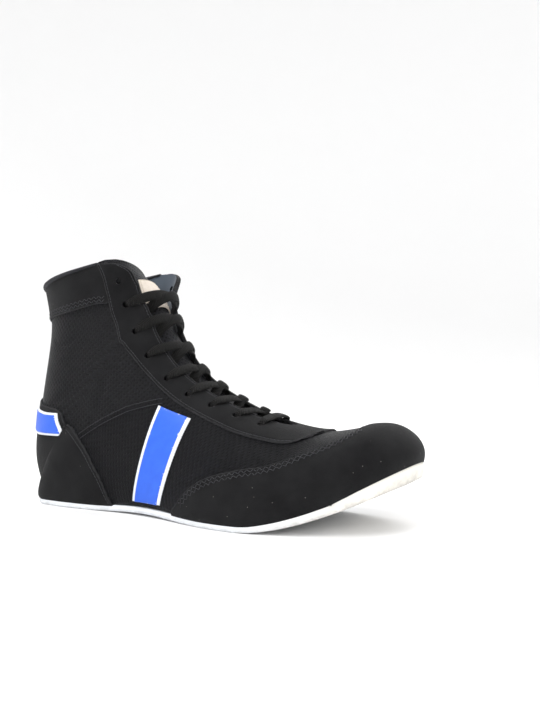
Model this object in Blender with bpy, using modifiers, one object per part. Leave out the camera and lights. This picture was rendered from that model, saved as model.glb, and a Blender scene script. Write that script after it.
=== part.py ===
"""Wrestling shoe for the right foot: thin rubber sole, high knit upper with suede overlays, laced throat.

Metres, +Z up, toe towards +X, outer side of the foot towards -Y. The shoe stands on z = 0.
"""
import math

import bmesh
import bpy
import numpy as np
from mathutils import Matrix, Vector

# Driving sizes of the shoe
LENGTH = 0.284
BALL_WIDTH = 0.096
INSTEP_HEIGHT = 0.0725
COLLAR_HEIGHT = 0.150

# Sole
TOE_SPRING = 0.032
SOLE_SIDE = 0.0045
SOLE_SIDE_TOE = 0.0085
SOLE_LIP = 0.0014
TREAD_DEPTH = 0.0010
ARCH_LIFT = 0.0015
HEEL_ROLL = 0.0020
INSOLE_THICKNESS = 0.0030
INSOLE_INSET = 0.0046

# Walls and overlays
UPPER_WALL = 0.0020
OVERLAY = 0.0011
UNDERLAY = 0.0005
GAP = 0.0003
OVERLAY_GAP = 0.0005
HEEL_TRIM_GAP = 0.0009
LABEL_GAP = 0.0006
TONGUE_GAP = 0.0008
SOLE_GAP = 0.0006
BINDING_HEIGHT = 0.0030
TONGUE_THICKNESS = 0.0028
TONGUE_LEAN = 0.0110
TONGUE_TURN = 0.0100
TONGUE_SINK = 0.0090
LABEL_THICKNESS = 0.0007
ROLL_MARGIN = 0.0040
HEEL_TURN = 0.40

# Lacing
EYELET_DIAMETER = 0.0042
LACE_WIDTH = 0.0068
LACE_THICKNESS = 0.0024
LACE_HUMP = 0.0016
LACE_OVER = 0.0005
LACE_CLEARANCE = 0.0009
LACE_TAIL = 0.06

# Where the sole's curves begin, as shares of the length
HEEL_END = 0.032
HEEL_CAP = 0.10
SPRING_START = 0.67
SPRING_POWER = 1.7
ARCH_PLACE = 0.40
ARCH_REACH = 0.18

# Outline of the sole: along (share of length), centre and half width (shares of ball width)
SOLE_PLAN = (
    (0.020, 0.000, 0.125),
    (0.055, 0.000, 0.234),
    (0.100, 0.000, 0.292),
    (0.160, 0.000, 0.312),
    (0.280, -0.008, 0.297),
    (0.400, -0.026, 0.307),
    (0.530, -0.042, 0.391),
    (0.650, -0.026, 0.474),
    (0.750, 0.016, 0.484),
    (0.860, 0.068, 0.411),
    (0.930, 0.099, 0.312),
)

# Cross sections of the upper, from the rim of the toe to the collar and one above it, which only the
# tongue reaches. Each leans from a base on the sole's edge, or on the back of the heel, to the ridge
# of the foot or the front of the shaft.
# base and top along (shares of length); base and top rise (up to 1 a share of the instep height,
# above 1 the share of the way on to the collar); half width and ridge offset (shares of ball
# width); level of the widest place and fullness above it (shares of the section's own height).
SECTIONS = (
    # base,  rise,  top,   rise,  half,  level, ridge, full
    (0.856, None, 0.9880, 0.545, 0.408, 0.03, 0.135, 0.06),
    (0.845, None, 0.9900, 0.635, 0.424, 0.10, 0.130, 0.10),
    (0.827, None, 0.9780, 0.732, 0.446, 0.16, 0.125, 0.14),
    (0.803, None, 0.9510, 0.810, 0.468, 0.20, 0.120, 0.18),
    (0.771, None, 0.9130, 0.840, 0.485, 0.24, 0.109, 0.20),
    (0.729, None, 0.8550, 0.807, 0.497, 0.27, 0.094, 0.18),
    (0.680, None, 0.7880, 0.773, 0.500, 0.28, 0.073, 0.16),
    (0.623, None, 0.7210, 0.807, 0.484, 0.28, 0.052, 0.14),
    (0.556, None, 0.6540, 0.883, 0.448, 0.28, 0.031, 0.14),
    (0.479, None, 0.5870, 1.000, 0.391, 0.29, 0.016, 0.16),
    (0.387, None, 0.5230, 1.136, 0.349, 0.30, 0.005, 0.18),
    (0.289, None, 0.4700, 1.290, 0.339, 0.30, 0.000, 0.22),
    (0.190, None, 0.4330, 1.458, 0.342, 0.30, 0.000, 0.26),
    (0.0985, None, 0.4080, 1.626, 0.340, 0.31, 0.000, 0.32),
    (0.050, None, 0.3960, 1.742, 0.334, 0.33, 0.000, 0.36),
    (HEEL_END, None, 0.3870, 1.839, 0.328, 0.36, 0.000, 0.40),
    (0.0075, 0.276, 0.3815, 1.923, 0.326, 0.40, 0.000, 0.42),
    (0.0035, 0.524, 0.3760, 2.000, 0.325, 0.44, 0.000, 0.44),
    (0.0160, 0.910, 0.3725, 2.070, 0.328, 0.47, 0.000, 0.46),
    (0.0370, 1.290, 0.3690, 2.130, 0.339, 0.49, 0.000, 0.46),
    (0.0510, 1.663, 0.3650, 2.188, 0.354, 0.50, 0.000, 0.46),
    (0.0352, 2.000, 0.3600, 2.245, 0.365, 0.50, 0.000, 0.46),
    (0.0180, 2.320, 0.3550, 2.302, 0.372, 0.50, 0.000, 0.46),
)
HEEL_SECTION = 15
# First and last place and number of places between which heights round the heel are read
HEEL_LINES = (15.0, 20.0, 41)
COLLAR_SECTION = len(SECTIONS) - 2
# Height of one step between the last two sections at the back of the collar
COLLAR_RISE = SECTIONS[COLLAR_SECTION][1] - SECTIONS[COLLAR_SECTION - 1][1]
COLLAR_STEP = (COLLAR_HEIGHT - INSTEP_HEIGHT) * COLLAR_RISE
# The inner flap of the throat stands open near the collar: by how much, from which place over how
# many places, and between which shares it fades out
FLAP_FLARE = 0.0090
FLARE_START = 16.5
FLARE_RUN = 4.5
FLARE_FULL = 0.15
FLARE_END = 0.52

# Edges of the panels. Place counts the cross sections, share runs over the half girth from the
# ridge (0) to the sole's edge or the back seam (1).
THROAT_EDGE = (
    (7.0, 0.000), (7.1, 0.055), (7.5, 0.085), (8.5, 0.100), (10.0, 0.112), (13.0, 0.100),
    (15.0, 0.090), (16.7, 0.112), (18.1, 0.137), (18.7, 0.155), (19.6, 0.185), (20.3, 0.225),
    (20.8, 0.275), (21.0, 0.345),
)
EYESTAY_REAR = (
    (5.90, 0.060), (5.95, 0.160), (6.10, 0.260), (6.35, 0.330), (6.80, 0.356), (8.00, 0.350),
    (9.00, 0.328), (10.0, 0.300), (11.2, 0.266), (12.2, 0.248), (13.5, 0.238), (16.1, 0.240),
    (18.2, 0.287), (19.7, 0.335), (21.0, 0.362),
)
TOE_CAP_EDGE = (
    (4.40, 0.000), (4.45, 0.180), (4.60, 0.310), (4.90, 0.390), (5.60, 0.465), (6.40, 0.560),
    (7.20, 0.615), (8.00, 0.690), (8.50, 0.790), (8.80, 0.950),
)
COUNTER_FRONT = (
    (0.600, 15.2), (0.615, 14.2), (0.640, 13.4), (0.690, 12.6), (0.762, 12.0), (0.838, 11.5),
    (0.925, 11.1), (1.000, 10.8),
)
BAND_LOWER = (
    (0.306, 18.40), (0.357, 18.78), (0.420, 19.10), (0.585, 19.60), (0.760, 19.95), (0.900, 20.08),
    (1.000, 20.12),
)
BAND_CLEAR = 0.012
BACKSTAY_EDGE = 0.92
BACKSTAY_TOP = 19.05
BACKSTAY_CLEAR = 0.0020
# Height of the counter's top edge by share, in instep heights
COUNTER_TOP = (
    (0.600, 0.870), (0.615, 0.905), (0.650, 0.925), (0.700, 0.935), (0.780, 0.955), (0.880, 1.000),
    (1.000, 1.050),
)
TOE_CAP_START = 0.32

# Eyelets down one side: place of each, all on one line inside the eyestay's edge
EYELET_PLACES = (19.3, 17.2, 14.6, 12.6, 11.3, 10.3, 9.45, 8.6, 7.75)
EYELET_LINE = (
    (7.7, 0.200), (8.6, 0.205), (10.2, 0.215), (12.3, 0.190), (14.6, 0.172), (17.2, 0.190), (19.3, 0.250),
)
FIRST_LACED = 1

# Trim bands: a straight one from the eyestay to the sole, by place, and one around the heel, whose
# edges are heights by share, in instep heights
SADDLE_TOP = (9.80, 10.80)
SADDLE_FOOT = (9.40, 10.15)
SADDLE_SHARES = (0.345, 0.955)
HEEL_BAND_LOWER = ((0.635, 0.690), (0.780, 0.690), (0.880, 0.710), (1.000, 0.760))
HEEL_BAND_UPPER = ((0.635, 0.865), (0.700, 0.865), (0.780, 0.875), (0.880, 0.905), (1.000, 0.955))


def spline(xs, ys, at):
    """Natural cubic spline through the rows of ys, read at the places given."""
    xs = np.asarray(xs, float)
    ys = np.asarray(ys, float).reshape(len(xs), -1)
    count = len(xs)
    step = np.diff(xs)
    matrix = np.eye(count)
    right = np.zeros_like(ys)
    for i in range(1, count - 1):
        matrix[i, i - 1:i + 2] = step[i - 1], 2 * (step[i - 1] + step[i]), step[i]
        slope_after = (ys[i + 1] - ys[i]) / step[i]
        slope_before = (ys[i] - ys[i - 1]) / step[i - 1]
        right[i] = 6 * (slope_after - slope_before)
    bend = np.linalg.solve(matrix, right)
    at = np.atleast_1d(np.asarray(at, float))
    j = np.clip(np.searchsorted(xs, at) - 1, 0, count - 2)
    gone = (at - xs[j])[:, None]
    left = (xs[j + 1] - at)[:, None]
    h = step[j][:, None]
    curved = (bend[j] * left ** 3 + bend[j + 1] * gone ** 3) / (6 * h)
    return curved + (ys[j] / h - bend[j] * h / 6) * left + (ys[j + 1] / h - bend[j + 1] * h / 6) * gone


def smooth(t):
    """Soft step from 0 to 1."""
    t = np.clip(t, 0.0, 1.0)
    return t * t * (3.0 - 2.0 * t)


def sole_underside(x):
    """Height of the ground face of the sole along the foot."""
    share = np.asarray(x) / LENGTH
    toe = np.clip((share - SPRING_START) / (1.0 - SPRING_START), 0.0, 1.2)
    heel = np.clip((0.06 - share) / 0.06, 0.0, 1.0)
    arch = smooth(1.0 - np.abs(share - ARCH_PLACE) / ARCH_REACH)
    return TOE_SPRING * toe ** SPRING_POWER + HEEL_ROLL * heel ** 2 + ARCH_LIFT * arch


def feather_height(x):
    """Height of the line where the upper meets the sole."""
    toe = np.clip((np.asarray(x) / LENGTH - 0.70) / 0.30, 0.0, 1.0)
    return sole_underside(x) + SOLE_SIDE + (SOLE_SIDE_TOE - SOLE_SIDE) * toe


def sole_half_width(x):
    """Half width of the sole's top, rounded off at the heel."""
    share = np.asarray(x) / LENGTH
    plan = np.array(SOLE_PLAN)
    wide = spline(plan[:, 0], plan[:, 2], share).ravel()
    cap_width = plan[2, 2]
    t = np.clip((share - HEEL_END) / (HEEL_CAP - HEEL_END), 0.0, 1.0)
    cap = cap_width * np.sqrt(1.0 - (1.0 - t) ** 2)
    return np.where(share < HEEL_CAP, cap, wide) * BALL_WIDTH


def sole_centre(x):
    """Sideways place of the sole's middle line."""
    plan = np.array(SOLE_PLAN)
    share = np.maximum(np.asarray(x) / LENGTH, plan[0, 0])
    return spline(plan[:, 0], plan[:, 1], share).ravel() * BALL_WIDTH


def rise(value):
    """Height from a rise: up to 1 on the instep, above 1 on towards the collar."""
    value = np.asarray(value, float)
    above = (COLLAR_HEIGHT - INSTEP_HEIGHT) * np.maximum(value - 1.0, 0.0)
    return INSTEP_HEIGHT * np.minimum(value, 1.0) + above


def section_table():
    """The cross sections in metres; the base height on the sole is filled in when they are read."""
    rows = []
    for base, base_rise, top, top_rise, half, level, ridge, full in SECTIONS:
        base_z = feather_height(base * LENGTH) if base_rise is None else rise(base_rise)
        rows.append((base * LENGTH, base_z, top * LENGTH, rise(top_rise), half * BALL_WIDTH,
                     level, ridge * BALL_WIDTH, full))
    return np.array(rows, float)


SECTION_ROWS = section_table()
SECTION_COUNT = np.arange(len(SECTION_ROWS))


def half_sections(places, side, steps=48):
    """Points of half cross sections, from the ridge down to the sole's edge, on one side (-1 or 1)."""
    places = np.atleast_1d(np.asarray(places, float))
    rows = spline(SECTION_COUNT, SECTION_ROWS, places)
    base_x, base_z, top_x, top_z, half, level, ridge, full = [rows[:, i:i + 1] for i in range(8)]
    on_sole = places[:, None] < HEEL_SECTION
    foot = np.where(on_sole, sole_half_width(base_x[:, 0])[:, None], 0.0)
    middle = np.where(on_sole, sole_centre(base_x[:, 0])[:, None], 0.0)
    base_z = np.where(on_sole, feather_height(base_x), base_z)
    height = np.hypot(top_x - base_x, top_z - base_z)
    along_x = (top_x - base_x) / height
    along_z = (top_z - base_z) / height
    angle = np.linspace(math.pi / 2, -math.pi / 2, steps)[None]
    above = angle >= 0
    wide_above = half * np.cos(angle) * (1 + full * np.sin(angle) ** 2)
    low_share = 1 + np.sin(angle)
    swell = np.where(half > foot, np.cos(angle), smooth(low_share))
    wide_below = foot + (half - foot) * swell
    up_above = height * (level + (1 - level) * np.sin(angle))
    up_below = height * level * low_share
    wide = np.where(above, wide_above, wide_below)
    up = np.where(above, up_above, up_below)
    y = middle + (ridge - middle) * up / height + side * wide
    return np.stack([base_x + along_x * up, y, base_z + along_z * up], -1)


def flare(places, shares, side):
    """How far the inner flap stands out sideways."""
    if side < 0:
        return np.zeros(np.shape(places))
    rising = smooth((places - FLARE_START) / FLARE_RUN)
    across = smooth(shares / FLARE_FULL) * smooth((FLARE_END - shares) / (FLARE_END - FLARE_FULL))
    return FLAP_FLARE * rising * across


def on_form(places, shares, side, open_flap=True):
    """Points of the form at pairs of place and share on one side, with the inner flap open or not."""
    places = np.asarray(places, float)
    shares = np.asarray(shares, float)
    lines = half_sections(places.ravel(), side)
    girth = np.linalg.norm(np.diff(lines, axis=1), axis=2)
    run = np.concatenate([np.zeros((len(lines), 1)), np.cumsum(girth, axis=1)], axis=1)
    out = np.zeros((len(lines), 3))
    for i, share in enumerate(shares.ravel()):
        for axis in range(3):
            out[i, axis] = np.interp(share * run[i, -1], run[i], lines[i, :, axis])
    out = out.reshape(places.shape + (3,))
    if open_flap:
        out[..., 1] += flare(places, shares, side)
    return out


def half_girth(place):
    """Length over the form from the ridge to the sole's edge."""
    line = half_sections(place, -1)[0]
    return float(np.linalg.norm(np.diff(line, axis=0), axis=1).sum())


def fold_back(places, shares, side, open_flap):
    """Carry shares below 0 over the ridge and above 1 round the back seam to the other side."""
    over = shares < 0
    behind = (shares > 1) & (places >= HEEL_SECTION)
    other = over | behind
    folded = np.where(over, -shares, np.where(behind, 2 - shares, np.minimum(shares, 1.0)))
    here = on_form(places, folded, side, open_flap)
    there = on_form(places, folded, -side, open_flap)
    return np.where(other[..., None], there, here)


def form_normals(places, shares, side, open_flap=True):
    """Outward directions of the form, from the slopes along and across it."""
    d_place, d_share = 0.04, 0.006
    places = np.asarray(places, float)
    shares = np.asarray(shares, float)
    low = np.maximum(places - d_place, 0.0)
    along = fold_back(places + d_place, shares, side, open_flap) - fold_back(low, shares, side, open_flap)
    right = fold_back(places, shares + d_share, side, open_flap)
    across = right - fold_back(places, shares - d_share, side, open_flap)
    normal = np.cross(across, along) * side
    return normal / np.maximum(np.linalg.norm(normal, axis=-1, keepdims=True), 1e-12)


def lifted(places, shares, side, lift, open_flap=True):
    """Points of the form moved outwards by a lift, which may differ from point to point."""
    lift = np.broadcast_to(np.asarray(lift, float), np.shape(places))
    points = on_form(places, shares, side, open_flap)
    return points + form_normals(places, shares, side, open_flap) * lift[..., None]


def edge_at(edge, place):
    """Share of a panel's edge at a place, read from its table."""
    table = np.array(edge)
    return np.interp(place, table[:, 0], table[:, 1])


def place_at_height(share, height):
    """Place where the line of a share round the heel and shaft reaches a height in instep heights."""
    places = np.linspace(HEEL_LINES[0], HEEL_LINES[1], HEEL_LINES[2])
    heights = on_form(places, np.full(len(places), share), -1)[:, 2]
    return float(np.interp(height * INSTEP_HEIGHT, heights, places))


def middle_of_form():
    """Middle of the form's length and width, which is the part's origin."""
    places = np.linspace(0.0, COLLAR_SECTION, 85)
    sides = np.concatenate([half_sections(places, -1).reshape(-1, 3), half_sections(places, 1).reshape(-1, 3)])
    low = sides.min(axis=0)
    high = sides.max(axis=0)
    return np.array([(low[0] + high[0]) / 2, (low[1] + high[1]) / 2, 0.0])


ORIGIN = middle_of_form()
bodies = None
cutters = None


def start_collections():
    """Empty the scene and make a collection for the shoe and one for its cutters."""
    global bodies, cutters
    for old in list(bpy.data.objects):
        bpy.data.objects.remove(old, do_unlink=True)
    bodies = bpy.data.collections.new("wrestling_shoe")
    cutters = bpy.data.collections.new("cutters")
    bpy.context.scene.collection.children.link(bodies)
    bpy.context.scene.collection.children.link(cutters)


def material(name, colour, roughness, metallic=0.0):
    """Principled material of one colour."""
    made = bpy.data.materials.new(name)
    made.use_nodes = True
    shader = made.node_tree.nodes["Principled BSDF"]
    shader.inputs["Base Color"].default_value = (*colour, 1.0)
    shader.inputs["Roughness"].default_value = roughness
    shader.inputs["Metallic"].default_value = metallic
    return made


def add_object(name, bm, colour, roughness, home=None):
    """Turn a bmesh into a named object at the part's origin."""
    bmesh.ops.translate(bm, verts=bm.verts, vec=Vector(-ORIGIN))
    mesh = bpy.data.meshes.new(name)
    bm.to_mesh(mesh)
    bm.free()
    made = bpy.data.objects.new(name, mesh)
    (home or bodies).objects.link(made)
    mesh.materials.append(material(name, colour, roughness))
    mesh.shade_smooth()
    return made


def add_grid(bm, points, flip):
    """Add a sheet of quads over rows of points and return nothing."""
    rows, columns = points.shape[:2]
    verts = [[bm.verts.new(points[i, j]) for j in range(columns)] for i in range(rows)]
    for i in range(rows - 1):
        for j in range(columns - 1):
            loop = [verts[i][j], verts[i + 1][j], verts[i + 1][j + 1], verts[i][j + 1]]
            if flip:
                loop.reverse()
            bm.faces.new(loop)


def drop_slivers(bm):
    """Weld points that fall together at the ridge, the back seam and pointed ends."""
    bmesh.ops.remove_doubles(bm, verts=bm.verts, dist=1e-5)
    bmesh.ops.dissolve_degenerate(bm, edges=bm.edges, dist=1e-6)


# Rows and columns that all panels share, so that their facets lie over each other
FORM_ROWS = (0.0, 0.6, 1.3, 2.2, 3.1, 3.9, 4.6, 5.3, 5.9, 6.25, 6.65, 7.0, 7.1, 7.5, 8.3, 9.1, 10.0, 11.0,
             12.0, 12.9, 13.6, 14.2, 14.6, 14.85, 15.0, 15.4, 16.0, 16.8, 17.6, 18.45, 19.05, 19.7, 20.3, 20.8, 21.0)
FORM_COLUMNS = 14
# Above 1, this sets the columns closer together towards the heel's tight curve
COLUMN_CROWDING = 1.2
FORM_SHARES = 1.0 - (1.0 - np.linspace(0.0, 1.0, FORM_COLUMNS)) ** COLUMN_CROWDING
SNAP_SHARE = 0.016
SNAP_PLACE = 0.12


def held_between(values, low, high, snap):
    """Values held inside a range, those that come close to an end moved on to it."""
    held = np.clip(values, low, high)
    held = np.where(held < low + snap, low, held)
    return np.where(held > high - snap, high, held)


def solid_from_sheet(name, sheets, thickness, colour, roughness):
    """Weld sheets into one and give them a wall, outwards or (below 0) inwards."""
    bm = bmesh.new()
    for points, flip in sheets:
        add_grid(bm, points, flip)
    drop_slivers(bm)
    bmesh.ops.triangulate(bm, faces=bm.faces, quad_method="FIXED")
    made = add_object(name, bm, colour, roughness)
    wall = made.modifiers.new("wall", "SOLIDIFY")
    wall.thickness = abs(thickness)
    wall.offset = 1.0 if thickness > 0 else -1.0
    wall.use_even_offset = False
    return made


def add_panel(name, ends, inner, outer, lift, thickness, colour, roughness, own_rows=()):
    """A panel over both sides that follows the form between an inner and an outer edge.

    ends are its first and last place; inner and outer give the share of its edges at a place.
    """
    rows = [k for k in FORM_ROWS if ends[0] + SNAP_PLACE < k < ends[1] - SNAP_PLACE]
    places = np.unique([*rows, *ends, *own_rows])
    shares = np.array([held_between(FORM_SHARES, inner(k), outer(k), SNAP_SHARE) for k in places])
    grid_places = np.repeat(places[:, None], shares.shape[1], axis=1)
    sheets = [(lifted(grid_places, shares, side, lift), side > 0) for side in (-1, 1)]
    return solid_from_sheet(name, sheets, thickness, colour, roughness)


def strip_sheet(ends, low, high, side, lift, own_shares=()):
    """Sheet that runs across the form: at each share it spans from a low to a high place."""
    shares = np.unique([*held_between(FORM_SHARES, ends[0], ends[1], SNAP_SHARE), *own_shares])
    lowest = min(low(c) for c in shares)
    highest = max(high(c) for c in shares)
    rows = np.array([lowest, *[k for k in FORM_ROWS if lowest < k < highest], highest])
    spans = [(low(c), high(c)) for c in shares]
    places = np.array([held_between(rows, a, b, min(SNAP_PLACE, (b - a) / 3)) for a, b in spans]).T
    short = np.array([[roll_edge(k) for k in row] for row in places])
    grid_shares = np.minimum(np.repeat(shares[None], len(rows), axis=0), short)
    return lifted(places, grid_shares, side, lift), side > 0


def roll_edge(place):
    """Share where a panel stops short of the sole, clear of its lip."""
    fade = np.clip(1.0 - (place - HEEL_SECTION) / HEEL_TURN, 0.0, 1.0)
    return 1.0 - fade * ROLL_MARGIN / half_girth(place)


BLACK_KNIT = (0.012, 0.012, 0.014)
BLACK_SUEDE = (0.022, 0.022, 0.023)
WHITE_RUBBER = (0.80, 0.81, 0.82)
BLUE = (0.030, 0.110, 0.560)
WHITE = (0.85, 0.86, 0.88)
LINING = (0.045, 0.055, 0.070)
BEIGE = (0.60, 0.54, 0.47)


def make_upper():
    """Hollow knit wall, open below, at the throat and at the collar."""
    throat = lambda k: edge_at(THROAT_EDGE, k)
    ends = (FORM_ROWS[0], FORM_ROWS[-1])
    return add_panel("upper", ends, throat, lambda k: 1.0, 0.0, -UPPER_WALL, BLACK_KNIT, 0.9, FORM_ROWS)


def rim_height(x):
    """Height of the upper's lower edge: the feather line, then the slanting rim of the toe."""
    base_x, base_z, top_x, top_z = SECTION_ROWS[0, :4]
    slant = base_z + (x - base_x) * (top_z - base_z) / (top_x - base_x)
    return np.where(x < base_x, feather_height(x), slant)


def sole_stations():
    """Places along the sole: x, centre and half width, from the heel's back to the toe's tip."""
    heel_end = HEEL_END * LENGTH
    front = SECTION_ROWS[0, 0]
    turn = np.linspace(0.0, math.pi / 2, 7)
    heel = heel_end + (HEEL_CAP * LENGTH - heel_end) * (1 - np.cos(turn))
    body = np.linspace(HEEL_CAP * LENGTH, front, 18)[1:-1]
    x = np.concatenate([heel, body])
    rows = [(a, c, w) for a, c, w in zip(x, sole_centre(x), sole_half_width(x))]
    outer = half_sections(0.0, -1, steps=21)[0][::-1]
    inner = half_sections(0.0, 1, steps=21)[0][::-1]
    for near, far in zip(outer, inner):
        rows.append((near[0], (near[1] + far[1]) / 2, (far[1] - near[1]) / 2))
    return np.array(rows)


def outline_offset(stations, offset):
    """The sole's outline on both sides, moved outwards by an offset in its own plane."""
    left = np.stack([stations[:, 0], stations[:, 1] - stations[:, 2]], -1)
    right = np.stack([stations[:, 0], stations[:, 1] + stations[:, 2]], -1)
    loop = np.concatenate([left, right[::-1][1:-1]])
    tangent = np.roll(loop, -1, axis=0) - np.roll(loop, 1, axis=0)
    tangent /= np.maximum(np.linalg.norm(tangent, axis=1, keepdims=True), 1e-12)
    outward = np.stack([tangent[:, 1], -tangent[:, 0]], -1)
    moved = loop + outward * offset
    count = len(stations)
    far = np.concatenate([moved[:1], moved[count:][::-1], moved[count - 1:count]])
    return moved[:count], far


# Side of the sole, from its top edge to the ground: level and lip, shares of the side and the lip
SOLE_PROFILE = ((1.00, 0.30), (0.85, 0.95), (0.40, 1.00), (0.10, 0.55), (0.00, 0.00))
# Grooved fields of the tread: from, to (shares of length) and number of grooves
TREAD_FIELDS = ((0.09, 0.25, 4), (0.55, 0.90, 8))
GROOVE_WIDTH = 0.0030
GROOVE_REACH = 0.82


def add_ladder(bm, near, far, flip):
    """Faces between two edges that meet at both ends."""
    for i in range(len(near) - 1):
        loop = list(dict.fromkeys([near[i], near[i + 1], far[i + 1], far[i]]))
        bm.faces.new(loop[::-1] if flip else loop)


def add_loop_stack(bm, rings):
    """Closed solid from rings of equal size, the first and last closed across the foot."""
    stack = []
    for left, right in rings:
        near = [bm.verts.new(p) for p in left]
        far = [near[0]] + [bm.verts.new(p) for p in right[1:-1]] + [near[-1]]
        stack.append((near, far))
    for (near_a, far_a), (near_b, far_b) in zip(stack[:-1], stack[1:]):
        loop_a = near_a + far_a[1:-1][::-1]
        loop_b = near_b + far_b[1:-1][::-1]
        for i in range(len(loop_a)):
            j = (i + 1) % len(loop_a)
            bm.faces.new([loop_a[i], loop_a[j], loop_b[j], loop_b[i]])
    add_ladder(bm, stack[0][0], stack[0][1], True)
    add_ladder(bm, stack[-1][0], stack[-1][1], False)
    bmesh.ops.recalc_face_normals(bm, faces=bm.faces)


def make_outsole():
    """One rubber unit: thin flat foot with a low side, rising at the toe, grooved under ball and heel."""
    stations = sole_stations()
    rings = []
    for level, lip in SOLE_PROFILE:
        ring = []
        for edge in outline_offset(stations, lip * SOLE_LIP):
            ground = sole_underside(edge[:, 0])
            top = rim_height(edge[:, 0]) - SOLE_GAP
            ring.append(np.column_stack([edge, ground + (top - ground) * level]))
        rings.append(ring)
    bm = bmesh.new()
    add_loop_stack(bm, rings)
    outsole = add_object("outsole", bm, WHITE_RUBBER, 0.5)
    grooves = bmesh.new()
    for start, end, count in TREAD_FIELDS:
        for share in np.linspace(start, end, count):
            x = share * LENGTH
            slope = (sole_underside(x + GROOVE_WIDTH) - sole_underside(x - GROOVE_WIDTH)) / (2 * GROOVE_WIDTH)
            reach = GROOVE_REACH * float(sole_half_width(np.array([x]))[0])
            place = Matrix.Translation((x, float(sole_centre(np.array([x]))[0]), float(sole_underside(x))))
            turn = Matrix.Rotation(-math.atan(float(slope)), 4, "Y")
            size = Matrix.Diagonal((GROOVE_WIDTH, 2 * reach, 2 * TREAD_DEPTH, 1.0))
            bmesh.ops.create_cube(grooves, size=1.0, matrix=place @ turn @ size)
    cutter = add_object("tread_grooves", grooves, WHITE_RUBBER, 0.5, cutters)
    cut_from(outsole, cutter)
    return outsole


def cut_from(target, cutter):
    """Cut one object out of another, which leaves the cutter as a wire guide."""
    cutter.hide_render = True
    cutter.display_type = "WIRE"
    cut = target.modifiers.new(cutter.name, "BOOLEAN")
    cut.operation = "DIFFERENCE"
    cut.object = cutter
    cut.solver = "EXACT"


def make_insole():
    """Sock on the sole inside the wall."""
    stations = sole_stations()
    apart = np.concatenate([[True], np.diff(stations[:, 0]) > 0.0018])
    left, right = outline_offset(stations[apart], -INSOLE_INSET)
    rings = []
    for level in (1.0, 0.0):
        lift = level * INSOLE_THICKNESS
        rings.append([np.column_stack([edge, rim_height(edge[:, 0]) + lift]) for edge in (left, right)])
    bm = bmesh.new()
    add_loop_stack(bm, rings)
    return add_object("insole", bm, LINING, 0.9)


def make_eyestay():
    """Suede facing of the throat, one piece down both sides and round its front end."""
    throat = lambda k: edge_at(THROAT_EDGE, k)
    rear = lambda k: edge_at(EYESTAY_REAR, k)
    ends = (EYESTAY_REAR[0][0], COLLAR_SECTION)
    own = (5.95, 6.08, 6.25, 7.0, 7.1, 20.8)
    return add_panel("eyestay", ends, throat, rear, OVERLAY_GAP, OVERLAY, BLACK_SUEDE, 0.85, own)


def make_toe_cap():
    """Suede cap over the toe, running back along the sole on both sides."""
    edge = lambda k: 0.0 if k < TOE_CAP_EDGE[0][0] else edge_at(TOE_CAP_EDGE, k)
    ends = (TOE_CAP_START, TOE_CAP_EDGE[-1][0])
    own = (4.4, 4.48, 4.6, 4.9, 8.5)
    return add_panel("toe_cap", ends, edge, roll_edge, OVERLAY_GAP, OVERLAY, BLACK_SUEDE, 0.85, own)


def make_counter():
    """Suede counter around the heel."""
    front = lambda c: edge_at(COUNTER_FRONT, c)
    top = lambda c: place_at_height(c, edge_at(COUNTER_TOP, c))
    ends = (COUNTER_FRONT[0][0], 1.0)
    own = [row[0] for row in COUNTER_FRONT[1:4]]
    sheets = [strip_sheet(ends, front, top, side, OVERLAY_GAP, own) for side in (-1, 1)]
    return solid_from_sheet("heel_counter", sheets, OVERLAY, BLACK_SUEDE, 0.85)


def make_collar():
    """Suede band around the collar, and the knit binding over the top edge."""
    shaft_rear = [(c + BAND_CLEAR, k) for k, c in EYESTAY_REAR if k > HEEL_SECTION]
    corner = shaft_rear[-1][0]
    low = lambda c: edge_at(BAND_LOWER, c)
    top = lambda c: max(low(c), edge_at(shaft_rear, c))
    ends = (BAND_LOWER[0][0], 1.0)
    sheets = [strip_sheet(ends, low, top, side, OVERLAY_GAP, (corner,)) for side in (-1, 1)]
    solid_from_sheet("collar_band", sheets, OVERLAY, BLACK_SUEDE, 0.85)
    start = COLLAR_SECTION + GAP / COLLAR_STEP
    end = start + BINDING_HEIGHT / COLLAR_STEP
    ends = (corner, 1.0)
    lift = -UPPER_WALL - OVERLAY / 2
    sheets = [strip_sheet(ends, lambda c: start, lambda c: end, side, lift) for side in (-1, 1)]
    solid_from_sheet("collar_binding", sheets, UPPER_WALL + OVERLAY_GAP + 3 * OVERLAY / 2, BLACK_KNIT, 0.9)


def make_backstay():
    """Narrow suede strip over the back seam, up from the counter."""
    lower = place_at_height(1.0, COUNTER_TOP[-1][1] + BACKSTAY_CLEAR / INSTEP_HEIGHT)
    edge = lambda k: BACKSTAY_EDGE
    ends = (lower, BACKSTAY_TOP)
    return add_panel("backstay", ends, edge, lambda k: 1.0, OVERLAY_GAP, OVERLAY, BLACK_SUEDE, 0.85)


def tongue_lean(places, shares):
    """How far the tongue leans back into the shaft and sinks: more near the top and its inner side."""
    inner = smooth((places - 16.0) / 6.0) * smooth((shares + 0.25) / 0.50)
    back = TONGUE_LEAN * smooth((places - 12.0) / 9.0) + TONGUE_TURN * inner
    return np.stack([back, 0.0 * back, TONGUE_SINK * inner], -1)


TONGUE_FRONT = (6.1, 6.4)
TONGUE_TOP = (21.0, 21.2, 21.35)
# Corners of the tongue's label: places and shares, shares below 0 on the outer side
LABEL_PLACES = (15.0, 18.45)
LABEL_SHARES = (-0.075, 0.075)
TONGUE_EDGE = (
    (6.1, 0.10), (6.3, 0.22), (7.0, 0.27), (9.0, 0.29), (12.0, 0.29), (16.0, 0.29), (19.5, 0.33),
    (20.6, 0.33), (21.0, 0.31), (21.2, 0.26), (21.35, 0.16),
)


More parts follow.
